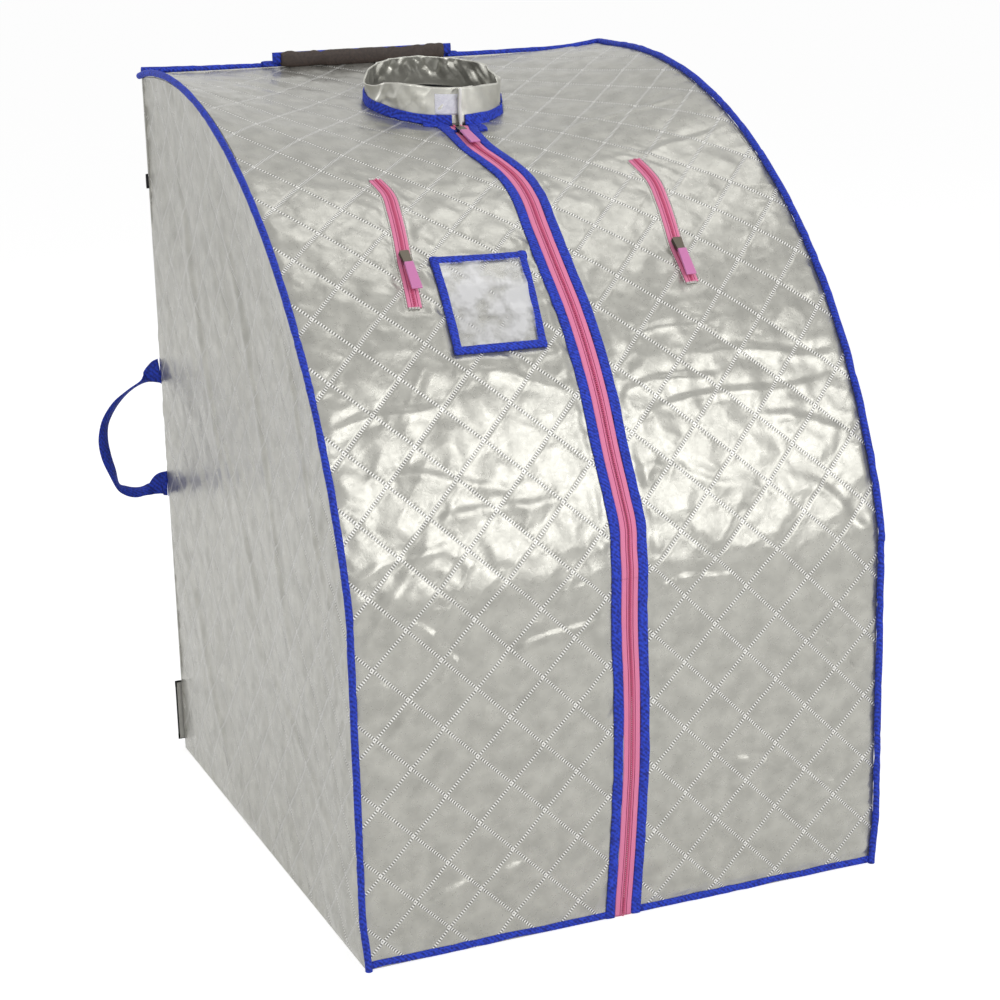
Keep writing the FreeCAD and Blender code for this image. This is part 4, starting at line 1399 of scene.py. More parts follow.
    def side(self, side: Side) -> QuiltedPanel:
        """A side panel, seen as depth across and height along.

        Args:
            side: Which side.

        Returns:
            The panel, not yet built.
        """
        outline = self.side_outline()
        sign, half, rear = side.value, self.cabin.half, self.cabin.rear

        def shape(depth: Array, height: Array) -> tuple[Array, Array, Array, Array]:
            """Shape the flat side, hanging in very slightly between its hoops.

            Args:
                depth: Distance in front of the rear face.
                height: Height.

            Returns:
                Points, and unit vectors across, along and outward.
            """
            under = np.interp(depth, outline[:0:-1, 0], outline[:0:-1, 1]) - height
            hang = 5*MM*np.sin(math.pi*np.clip(depth/self.cabin.depth, 0, 1))*smooth(height, 0, 0.25)
            hang = hang*smooth(under, 0, 0.08)
            point = np.stack([sign*(half - hang), rear - depth, height], -1)
            flat = np.zeros_like(point)
            return point, flat + (0, -1, 0), flat + (0, 0, 1), flat + (sign, 0, 0)

        def creased(depth: Array, height: Array) -> Array:
            """Find how crumpled the cloth is just behind the front edge.

            Args:
                depth: Distance in front of the rear face.
                height: Height.

            Returns:
                A share from 0 to 1.
            """
            profile = outline[1:]
            rises = np.argsort(profile[:, 1])
            front = np.interp(height, profile[rises, 1], profile[rises, 0])
            behind = front - depth
            return smooth(behind, 0.010, 0.035)*smooth(-behind, -0.125, -0.09)*smooth(height, 0.12, 0.25)\
                * smooth(-height, -0.86, -0.72)

        return QuiltedPanel(
            (0, self.cabin.depth), (0, outline[:, 1].max() + MM),
            (self.cabin.depth*0.45, 0.352), self.side_pitch, shape, self.quilting,
            cuts=[Outline(outline)], seed=300 if side is Side.LEFT else 400, sag=4.5*MM,
            crumple=0.3*MM, calm=lambda a, b: np.full(np.shape(a), 0.45), creased=creased, folds=(
                Fold((330, 820), (560, 300), 10, 1.7), Fold((120, 880), (300, 420), 11, 1.7),
                Fold((560, 700), (700, 420), 8, 1.7), Fold((60, 300), (240, 60), 11, 1.5),
                Fold((420, 260), (700, 120), 9, 1.6), Fold((250, 560), (420, 330), 10, 1.3)))

    def back(self) -> QuiltedPanel:
        """The back panel, seen as x across and height along.

        Returns:
            The panel, not yet built.
        """
        half, top, rear = self.cabin.half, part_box("back_top_piping")[0].z + 2*MM, self.cabin.rear

        def shape(x: Array, height: Array) -> tuple[Array, Array, Array, Array]:
            """Shape the flat back.

            Args:
                x: The x.
                height: Height.

            Returns:
                Points, and unit vectors across, along and outward.
            """
            point = np.stack([x, np.full_like(x, rear), height], -1)
            flat = np.zeros_like(point)
            return point, flat + (1, 0, 0), flat + (0, 0, 1), flat + (0, 1, 0)

        def edge(a: Array, b: Array) -> tuple[Array, Array]:
            """Distance to the nearest edge of the back, and along it."""
            gaps = np.stack([half - np.abs(a), b, top - b])
            return gaps.min(0), np.where(gaps.argmin(0) == 0, b, a)

        turn = np.linspace(0, 2*math.pi, 60, endpoint=False)
        low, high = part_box("steam_port_grommet")
        middle, reach = (low + high)/2, (high.x - low.x)/2 - 3*MM
        hole = np.stack([middle.x + reach*np.sin(turn), middle.z + reach*np.cos(turn)], -1)
        return QuiltedPanel((-half, half), (0, top), (0, 0.3), (self.pitch, self.pitch), shape,
                            self.quilting, edges=[edge],
                            cuts=[Outline(hole, keep_inside=False)], seed=500, sag=2.5*MM,
                            calm=lambda a, b: np.full(np.shape(a), 0.7))

    def finish(self, name: str, patch: Patch, *nodes: str) -> Object:
        """Make a quilted piece, dress it and hide the CAD nodes that it stands for.

        Args:
            name: Name of the piece.
            patch: Its outer surface and its lining.
            nodes: The CAD nodes.

        Returns:
            The new object.
        """
        piece = make_piece(name, patch, [self.wardrobe.quilt, self.wardrobe.lining])
        if nodes:
            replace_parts(piece, *nodes)
        return piece

    def build(self) -> None:
        """Make every quilted piece."""
        top = self.cabin.front_height
        for side in Side:
            word = side.word
            panel = self.half(side).build()
            low, high = (joined([panel.outer.beyond(top, above), panel.lining.beyond(top, above)])
                         for above in (False, True))
            bend_at_lapel(self.finish(f"front_cloth_{word}", low, f"front_gore_{word}", f"lapel_{word}"))
            roof_nodes = ("roof_panel",) if side is Side.LEFT else ()
            ride_roof(self.finish(f"roof_cloth_{word}", high, *roof_nodes))
            flank = self.two_faced(self.side(side), (side.value, 0.0, 0.0))
            ride_roof(self.finish(f"side_cloth_{word}", flank, f"{word}_rear_panel", f"{word}_front_panel",
                                  f"{word}_rear_hoop", f"{word}_front_hoop"))
        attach(self.finish("back_cloth", self.two_faced(self.back(), (0.0, 1.0, 0.0)), "back_panel"),
                Body.ROOT.value)

    def two_faced(self, panel: QuiltedPanel, outward: Sequence[float]) -> Patch:
        """Build a panel, and turn its surface outward and its lining inward.

        Args:
            panel: The panel, not yet built.
            outward: The direction that its outer surface faces.

        Returns:
            Both as one patch, with a slot for each.
        """
        panel.build()
        out = np.array(outward)
        return joined([self.turned(panel.outer.whole(), out), self.turned(panel.lining.whole(), -out)])

    @staticmethod
    def turned(patch: Patch, outward: Array) -> Patch:
        """Turn a patch's faces and normals the right way.

        Args:
            patch: The patch.
            outward: The direction that they should point in.

        Returns:
            The turned patch.
        """
        p = patch.points[patch.triangles]
        face = np.cross(p[:, 1] - p[:, 0], p[:, 2] - p[:, 0])
        triangles = np.where(((face @ outward) < 0)[:, None], patch.triangles[:, ::-1], patch.triangles)
        normals = patch.normals*np.sign(patch.normals @ outward)[:, None]
        return Patch(patch.points, triangles, patch.cells, normals, patch.slots)


def ride_roof(piece: Object, body: str = Body.ROOT.value) -> Object:
    """Make a piece move with a roof-borne body, on a mesh of its own.

    Args:
        piece: The piece.
        body: The body that it rides on.

    Returns:
        The same piece.
    """
    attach(piece, body)
    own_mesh(piece)
    return piece


def bend_at_lapel(piece: Object) -> None:
    """Bake a piece of the front's placement into its mesh.

    Args:
        piece: The piece.
    """
    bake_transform(piece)


# ---------------------------------------------------------------- zips and bindings

@dataclass
class Strip:
    """A narrow strip lying on the cabin's skin along a path in the cloth's flat coordinates."""

    cabin: Cabin
    path: Array
    line: Array = field(init=False)
    across: Array = field(init=False)
    out: Array = field(init=False)
    run: Array = field(init=False)

    def __post_init__(self) -> None:
        """Find the path's points and its across and outward directions in space."""
        self.line, _, _, self.out = self.cabin.frame_at(*self.path.T)
        self.across = unit(np.cross(unit(np.gradient(self.line, axis=0)), self.out))
        self.run = run_of(self.line)

    def at(self, places: Array) -> list[Array]:
        """Points, across and outward directions at distances along the strip."""
        return [taken_at(places, self.run, values) for values in (self.line, self.across, self.out)]

    def sweep(self, outline: Sequence[tuple[float, float]], shift: float = 0.0, wave: float = 0.0,
              seed: int = 1) -> Patch:
        """Sweep an outline along the strip.

        Args:
            outline: Closed outline as (across, up) pairs.
            shift: How far to the right of the path it lies.
            wave: How unevenly its width and height are sewn, as a share.
            seed: Picks the unevenness.

        Returns:
            The strip's patch.
        """
        run = self.run + self.path[0, 1]
        shape = np.repeat(np.array(outline, float)[None], len(run), axis=0)
        middle = shape[..., 0].mean(axis=1, keepdims=True)
        wide = 1 + wave*noise(run, run*0, 14*MM, seed)[:, None]
        tall = 1 + 1.2*wave*noise(run, run*0 + 5, 7*MM, seed + 1)[:, None]
        sway = wave*4*MM*noise(run, run*0 + 9, 26*MM, seed + 2)[:, None]
        shape[..., 0] = middle + (shape[..., 0] - middle)*wide + sway + shift
        shape[..., 1] = shape[..., 1]*tall
        return swept(self.line, self.across, self.out, shape)

    def teeth(self, sign: int, width: float, low: float, high: float, spacing: float) -> Patch:
        """One side's coil of teeth along the strip.

        Args:
            sign: -1 for the left row, 1 for the right row.
            width: How far a tooth reaches from the middle.
            low: Height of its underside.
            high: Height of its top.
            spacing: Distance between teeth.

        Returns:
            The row's patch.
        """
        start = spacing*(0.75 if sign > 0 else 0.25)
        at = self.at(np.arange(start, self.run[-1] - 0.3*spacing, spacing))
        ahead = unit(np.cross(at[2], at[1]))
        thick, inner = 0.42*spacing, -0.2*MM
        ring = [(inner, 0.15), (inner, 0.85), (0.35*width, 1.0), (0.85*width, 0.7), (width, 0.1)]
        points = []
        for side in (-1, 1):
            for reach, rise in ring:
                squeeze = 0.75 if reach == inner else 1.0
                points.append(at[0] + at[1]*sign*reach + at[2]*(low + (high - low)*rise)
                              + ahead*side*thick*0.5*squeeze)
        points = np.stack(points, 1)
        count = len(ring)
        face = [(0, k, k + 1) for k in range(1, count - 1)]
        face += [(count, count + k + 1, count + k) for k in range(1, count - 1)]
        for k in range(count):
            n = (k + 1) % count
            face += [(k, count + k, count + n), (k, count + n, n)]
        base = np.arange(len(points))[:, None, None]*2*count
        triangles = (base + np.array(face)[None]).reshape(-1, 3)
        if sign < 0:
            triangles = triangles[:, ::-1]
        flat = points.reshape(-1, 3)
        return Patch(flat, triangles, np.zeros((len(flat), 2)))

    def stitches(self, shift: float, lift: float, length: float = 3*MM, spacing: float = 4.4*MM,
                 width: float = 0.9*MM) -> Patch:
        """A row of single stitches beside the path, each a short thread pulled down at both ends.

        Args:
            shift: How far to the right of the path the row lies.
            lift: Height of the thread above the cloth.
            length: Length of a stitch.
            spacing: Distance from one stitch to the next.
            width: Thickness of the thread.

        Returns:
            The row's patch.
        """
        rows = []
        for start in np.arange(0.5*MM, self.run[-1] - length, spacing):
            at = self.at(start + length*np.array([0, 0.2, 0.8, 1.0]))
            height = lift + width*np.array([-0.7, 0.15, 0.15, -0.7])
            line = at[0] + at[1]*shift + at[2]*height[:, None]
            rows.append(swept(line, at[1], at[2], tube_outline(width/2, 6)))
        return merged(rows)


@dataclass
class MainZip:
    """The long front zip, its blue bindings, and the bound hem at the front's foot."""

    cabin: Cabin
    wardrobe: Wardrobe
    tape_width: float = 10.5*MM
    binding_width: float = 12.2*MM
    slit: float = 0.8*MM
    tape_low: float = 0.3*MM
    tape_high: float = 1.3*MM
    teeth_high: float = 3.6*MM
    binding_high: float = 2.9*MM
    tooth_spacing: float = 2.6*MM
    wander: Sequence[tuple[float, float]] = (
        (0, -11), (15, -10), (86, -4), (160, 1), (200, 3), (290, 4), (370, 2), (456, 4), (495, 7), (536, 4),
        (590, 1), (666, 2), (761, 2), (838, 1), (903, 4), (960, 10), (1005, 9), (1045, 0), (1085, -10),
        (1125, -10), (1170, -6), (1200, -6))
    spread: float = 4.5*MM
    collar_gap: float = 2*MM

    def centre(self, s: Array) -> Array:
        """The zip's middle: it leans left near the floor, and bends twice below the collar."""
        line = smooth_line(self.wander, 400)*MM
        return np.interp(s, line[:, 0], line[:, 1])

    def end(self) -> float:
        """Where the zip meets the collar, along s."""
        return self.cabin.s_at_depth(0.0, self.cabin.neck_depth + self.cabin.neck_radius + self.collar_gap)

    def path(self, low: float, high: float, shift: float, opened: float) -> Array:
        """A line along the zip, spreading above the slider.

        Args:
            low: Where it starts, along s.
            high: Where it ends.
            shift: Its distance to the right of the zip's middle.
            opened: How much farther out it ends.

        Returns:
            The line's flat coordinates.
        """
        s = np.arange(low, high, 3*MM)
        s = np.append(s, high)
        top = self.end()
        away = np.sign(shift)*opened*smooth(s, top - 40*MM, top)
        return np.stack([self.centre(s) + shift + away, s], -1)

    def side_patches(self, side: Side, low: float, high: float) -> dict[str, Patch]:
        """One side's tape, teeth and binding.

        Args:
            side: Which side of the zip.
            low: Where they start, along s.
            high: Where they end.

        Returns:
            A patch for each kind of part.
        """
        sign = side.value
        half_tape, half_binding = self.tape_width/2, self.binding_width/2
        middle = self.slit/2 + half_tape
        at_binding = self.slit/2 + self.tape_width + 0.3*MM + half_binding
        plain = Strip(self.cabin, self.path(low, high, sign*MM*0.001, self.spread))
        tape = Strip(self.cabin, self.path(low, high, sign*middle, self.spread))
        binding = Strip(self.cabin, self.path(low, high, sign*at_binding, self.spread))
        body = tape.sweep(pillow(self.tape_width, self.tape_low, self.tape_high), wave=0.02, seed=72 + sign)
        body.cells[:, 0] += sign*middle/(10*MM)
        cloth = binding.sweep(pillow(self.binding_width, self.tape_low, self.binding_high), wave=0.07,
                              seed=77 + sign)
        teeth = plain.teeth(sign, 1.9*MM, self.tape_high - 0.2*MM, self.teeth_high, self.tooth_spacing)
        return {"tape": body, "teeth": teeth, "binding": cloth}

    def build(self) -> None:
        """Make the zip over the roof and down the front."""
        dress = {"tape": (self.wardrobe.tape, "pink_zip_tape"), "teeth": (self.wardrobe.teeth, "zip_teeth"),
                 "binding": (self.wardrobe.blue, "blue_binding")}
        roof = {"tape": "roof_zip_tapes", "teeth": "roof_zip_teeth", "binding": "roof_zip_bindings"}
        above = {kind: [] for kind in dress}
        for side in Side:
            parts = self.side_patches(side, 0.5*MM, self.cabin.front_height)
            for kind, finish in dress.items():
                piece = dressed(f"front_zip_{kind}_{side.word}", parts[kind], *finish,
                                f"lapel_zip_{kind}_{side.word}")
                bend_at_lapel(piece)
            parts = self.side_patches(side, self.cabin.front_height - 0.4*MM, self.end() - 6*MM)
            for kind in above:
                above[kind].append(parts[kind])
            self.hem(side)
        above["binding"] += [self.collar_branch(side) for side in Side]
        for kind, finish in dress.items():
            ride_roof(dressed(f"roof_zip_{kind}", merged(above[kind]), *finish, roof[kind]))

    def collar_branch(self, side: Side) -> Patch:
        """The end of a binding, turned outward along the foot of the collar.

        Args:
            side: Which binding.

        Returns:
            Its patch.
        """
        sign, top = side.value, self.end()
        neck_y = self.cabin.rear - self.cabin.neck_depth
        ring = self.cabin.neck_radius + 5*MM
        reach = (13, 19, 25) if side is Side.RIGHT else (14, 22, 30)
        corners = [(sign*(18.5*MM + self.spread*0.35), top - 34*MM),
                   (sign*(21*MM + self.spread*0.6), top - 20*MM)]
        for angle in reach:
            x, y = sign*ring*math.sin(math.radians(angle)), neck_y - ring*math.cos(math.radians(angle))
            corners.append((x, self.cabin.s_at_depth(x, self.cabin.rear - y) - 2*MM))
        return Strip(self.cabin, smooth_line(corners, 40)).sweep(
            pillow(self.binding_width, self.tape_low, self.binding_high + 0.5*MM), wave=0.05, seed=85 + sign)

    def hem(self, side: Side) -> None:
        """The flat blue binding along the front's foot, from the corner to the zip.

        Args:
            side: Which half of the front.
        """
        sign = side.value
        x = np.arange(23.0, 342.0, 4.0)*MM*sign
        lean = self.centre(np.array([5*MM]))[0]*smooth(-np.abs(x), -60*MM, -20*MM)
        path = np.stack([x + lean, np.full_like(x, 5*MM) + 0.8*MM*noise(x, x*0, 40*MM, 91)], -1)
        strip = Strip(self.cabin, path if side is Side.RIGHT else path[::-1])
        patch = strip.sweep(pillow(9*MM, -0.5*MM, 1.9*MM), wave=0.1, seed=92)
        piece = dressed(f"hem_{side.word}", patch, self.wardrobe.blue, "blue_binding",
                        f"hem_binding_{side.word}")
        bend_at_lapel(piece)


@dataclass
class ZipPuller:
    """A zip's slider with its bail, and the flat vinyl pull that hangs from it."""

    wardrobe: Wardrobe
    name: str
    shift: tuple[float, float, float] = (0.0, 0.0, 0.0)

    def build(self) -> None:
        """Dress the slider and the pull, as pieces that ride on bodies of their own."""
        for kind, slot, material in (("slider", "gunmetal", self.wardrobe.metal),
                                     ("pull", "pink_pull", self.wardrobe.pull)):
            name = f"{self.name}_{kind}"
            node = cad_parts[name]
            mesh = node.data.copy()
            mesh.transform(Matrix.Translation(self.shift) @ node.matrix_world)
            self.pinch(mesh, kind)
            piece = bpy.data.objects.new(f"{name}_part", mesh)
            bpy.context.scene.collection.objects.link(piece)
            mesh.materials.clear()
            mesh.materials.append(material)
            ride_roof(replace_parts(piece, name), name)
            LOG.info("%s: %d faces", piece.name, len(mesh.polygons))

    @staticmethod
    def pinch(mesh: Mesh, kind: str) -> None:
        """Narrow a slider towards its foot, as it closes on the teeth, and a pull a little at its neck.

        Args:
            mesh: The part's mesh, in place.
            kind: Which of the two it is.
        """
        flat = np.zeros(3*len(mesh.vertices))
        mesh.vertices.foreach_get("co", flat)
        points = flat.reshape(-1, 3)
        low, high = points.min(0), points.max(0)
        centre = (low + high)/2
        height = (points[:, 2] - low[2])/(high[2] - low[2])
        tight = 0.26*smooth(1 - height, 0.35, 1.0) if kind == "slider" else 0.18*smooth(height, 0.86, 1.0)
        points[:, 0] = centre[0] + (points[:, 0] - centre[0])*(1 - tight)
        mesh.vertices.foreach_set("co", points.astype(np.float32).ravel())
        mesh.update()


@dataclass
class ArmZip:
    """One of the two short slanting zips over the arm openings."""

    cabin: Cabin
    wardrobe: Wardrobe
    side: Side
    width: float = 8.8*MM
    border: float = 10.4*MM
    left_path: Sequence[tuple[float, float]] = (
        (-193, 792), (-189, 830), (-185.5, 862), (-179, 900), (-172, 945), (-168, 980), (-174, 1012))
    right_path: Sequence[tuple[float, float]] = (
        (169, 790), (168, 820), (168, 845), (173, 880), (180, 925), (184, 965), (178, 1012))

    def path(self) -> Array:
        """The zip's middle in the cloth's flat coordinates, bent a little by the cloth."""
        corners = self.left_path if self.side is Side.LEFT else self.right_path
        return smooth_line(corners, 80)*MM

    def build(self) -> None:
        """Make the tapes, the teeth, the stitched border and the bar tacks."""
        word, path, wardrobe = self.side.word, self.path(), self.wardrobe
        strip = Strip(self.cabin, path)
        tapes = [strip.sweep(pillow(self.width - 0.4*MM, 0.2*MM, 1.5*MM), shift=sign*self.width/2, wave=0.02,
                             seed=120 + sign) for sign in (-1, 1)]
        teeth = [strip.teeth(sign, 1.9*MM, 1.1*MM, 3.4*MM, 2.6*MM) for sign in (-1, 1)]
        border = [strip.stitches(sign*self.border, 0.9*MM) for sign in (-1, 1)]
        border += [self.tack(path[0, 0], path[0, 1] - 1*MM), self.tack(path[-1, 0], path[-1, 1] + 1*MM)]
        ride_roof(dressed(f"arm_zip_tapes_{word}", merged(tapes), wardrobe.tape, "pink_zip_tape",
                          f"arm_zip_tape_{word}"))
        ride_roof(dressed(f"arm_zip_coil_{word}", merged(teeth), wardrobe.teeth, "zip_teeth",
                          f"arm_zip_teeth_{word}"))
        ride_roof(dressed(f"arm_zip_stitches_{word}", merged(border), wardrobe.thread, "silver_satin"))

    def tack(self, x: float, s: float) -> Patch:
        """Sew a dense bar of thread across the zip's end.

        Args:
            x: The bar's middle across the cloth.
            s: Its place along it.

        Returns:
            Its patch.
        """
        u = np.linspace(x - self.width, x + self.width, 12)
        strip = Strip(self.cabin, np.stack([u, np.full_like(u, s)], -1))
        return merged([strip.stitches(shift, 1.3*MM, length=3.2*MM, spacing=3.6*MM, width=1*MM)
                       for shift in (-0.8*MM, 0.8*MM)])


@dataclass
class Piping:
    """The covered cords along the front's, the roof's and the back's edges."""

    cabin: Cabin
    wardrobe: Wardrobe
    radius: float = 4.4*MM
    wobble: float = 1.6*MM

    def cord(self, name: str, line: Array, up: Sequence[float], seed: int, node: str) -> Object:
        """Make one run of piping: a covered cord, sewn in a little unevenly.

        Args:
            name: Name of the piece.
            line: Points of its middle.
            up: The way it stands out from the cloth.
            seed: Picks the unevenness.
            node: The CAD node that it stands for.

        Returns:
            The new object.
        """
        across, up = frames_along(line, up)
        run = run_of(line)
        grow = 1 + 0.12*noise(run, run*0, 16*MM, seed) + 0.08*noise(run, run*0, 6*MM, seed + 1)
        outline = np.array(tube_outline(self.radius, 12))[None]*np.clip(grow, 0.82, 1.0)[:, None, None]
        shift = self.wobble*0.5*noise(run, run*0, 30*MM, seed + 2)[:, None]
        patch = swept(line - up*np.abs(shift), across, up, outline)
        return dressed(name, patch, self.wardrobe.blue, "blue_piping", node)

    def build(self) -> None:
        """Make all five runs of piping."""
        half, front = self.cabin.half, self.cabin.rear - self.cabin.depth
        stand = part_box("front_piping_right")[1].x - 4*MM - half
        for side in Side:
            x = side.value*(half + stand)
            z = np.arange(self.radius*0.5, self.cabin.front_height*1000, 4)*MM
            z = np.append(z, self.cabin.front_height)
            curl = 9*MM*smooth(-z, -70*MM, 0)
            line = points_at(x - side.value*curl*0.55, front - stand, z)
            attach(self.cord(f"front_edge_{side.word}", line, (side.value, -1.0, 0.0), 130,
                              f"front_piping_{side.word}"), Body.FRONT.value)
            s = np.linspace(self.cabin.front_height, self.cabin.lengths[-1], 270)
            point, _, _, out = self.cabin.frame_at(np.full_like(s, side.value*half), s)
            flat = unit(out*(0, 1, 1))
            line = point + flat*stand + np.array([side.value*stand, 0, 0])
            if side is Side.LEFT:
                line[:, 2] -= 4*MM*np.exp((line[:, 1] - self.cabin.rear)/(60*MM))
            ride_roof(self.cord(f"roof_edge_{side.word}", line, (side.value, -0.2, 1.0), 140 + side.value,
                                f"roof_piping_{side.word}"))
        low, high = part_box("back_top_piping")
        x = np.arange(low.x, high.x + 7*MM, 4*MM)
        line = points_at(x, (low.y + high.y)/2, (low.z + high.z)/2)
        line[:, 2] += 4*MM*np.exp(-(x - low.x)/(60*MM)) - 1.2*MM*np.abs(noise(x, x*0, 90*MM, 151))
        ride_roof(self.cord("back_top_edge", line, (0.0, 0.0, 1.0), 150, "back_top_piping"))


@dataclass
class Window:
    """The clear pocket on the left of the zip, and the blue binding around it."""

    cabin: Cabin
    wardrobe: Wardrobe
    binding: float = 10*MM
    bulge: float = 1.3*MM
    bottom: float = 724*MM
    top: float = 863*MM
    left: tuple[float, float] = (-163*MM, -155*MM)
    right: tuple[float, float] = (-47*MM, -31*MM)

    def place(self, across: Array, up: Array) -> tuple[Array, Array]:
        """Find a point of the window on the cloth.

        Args:
            across: Share of the width.
            up: Share of the height.

        Returns:
            Coordinates across and along the cloth.
        """
        left = self.left[0] + (self.left[1] - self.left[0])*up
        right = self.right[0] + (self.right[1] - self.right[0])*up
        return left + (right - left)*across, self.bottom + (self.top - self.bottom)*up

    def edge(self, a: Array, b: Array) -> tuple[Array, Array]:
        """How near a point of the cloth is to the window's binding.

        Args:
            a: Coordinate across.
            b: Coordinate along.

        Returns:
            Distance outside the frame, or a little inside it, and a place along it.
        """
        up = np.clip((b - self.bottom)/(self.top - self.bottom), 0, 1)
        left, _ = self.place(0*up, up)
        right, _ = self.place(0*up + 1, up)
        off = np.maximum(np.maximum(left - a, a - right), 0)
        past = np.maximum(np.maximum(self.bottom - b, b - self.top), 0)
        inside = np.minimum(np.minimum(a - left, right - a), np.minimum(b - self.bottom, self.top - b))
        under_film = np.minimum(np.maximum(inside - self.binding, 0)*0.5, 1.6*MM)
        return np.where(inside > 0, under_film, np.hypot(off, past)), a + b

    def build(self) -> None:
        """Make the film and its binding."""
        shares = np.linspace(0.03, 0.97, 48)
        u, v = np.meshgrid(shares, shares, indexing="ij")
        a, b = self.place(u, v)
        low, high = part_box("window_film")
        fade = 1
        for place in (a, b):
            fade = fade*np.sin(math.pi*(place - place.min())/(place.max() - place.min()))
        fade = np.clip(fade, 0, 1)**0.4
        ripple = self.bulge*noise(a, b, 24*MM, 161) + 0.6*self.bulge*noise(a, b*0.5, 12*MM, 162)
        ridge = 1.6*MM*np.exp(-((a - (low.x + 0.72*(high.x - low.x)))/(2.5*MM))**2)
        lift = 3.4*MM + fade*(ripple + ridge)
        points = self.cabin.on_skin(a, b, np.maximum(lift, 1.2*MM))
        cells = np.stack([a, b], -1).reshape(-1, 2)/(10*MM)
        patch = Patch(points.reshape(-1, 3), grid_triangles(*a.shape), cells,
                      grid_normals(points).reshape(-1, 3))
        film = ride_roof(dressed("window_pane", patch, self.wardrobe.film, "clear_film", "window_film"))
        reach = self.binding/2
        inset_u, inset_v = reach/(self.right[0] - self.left[0]), reach/(self.top - self.bottom)
        corners = [np.array(self.place(x, y)) for x, y in (
            (inset_u, inset_v), (inset_u, 1 - inset_v), (1 - inset_u, 1 - inset_v), (1 - inset_u, inset_v))]
        strips = [Strip(self.cabin, path).sweep(pillow(self.binding, 0.8*MM, 4.8*MM + 0.3*MM*(number % 2)),
                                                wave=0.05, seed=163 + number)
                  for number, path in enumerate(frame_paths(corners, reach, 34))]
        ride_roof(dressed("window_frame", merged(strips), self.wardrobe.blue, "blue_binding",
                          "window_binding"))


# ---------------------------------------------------------------- collar

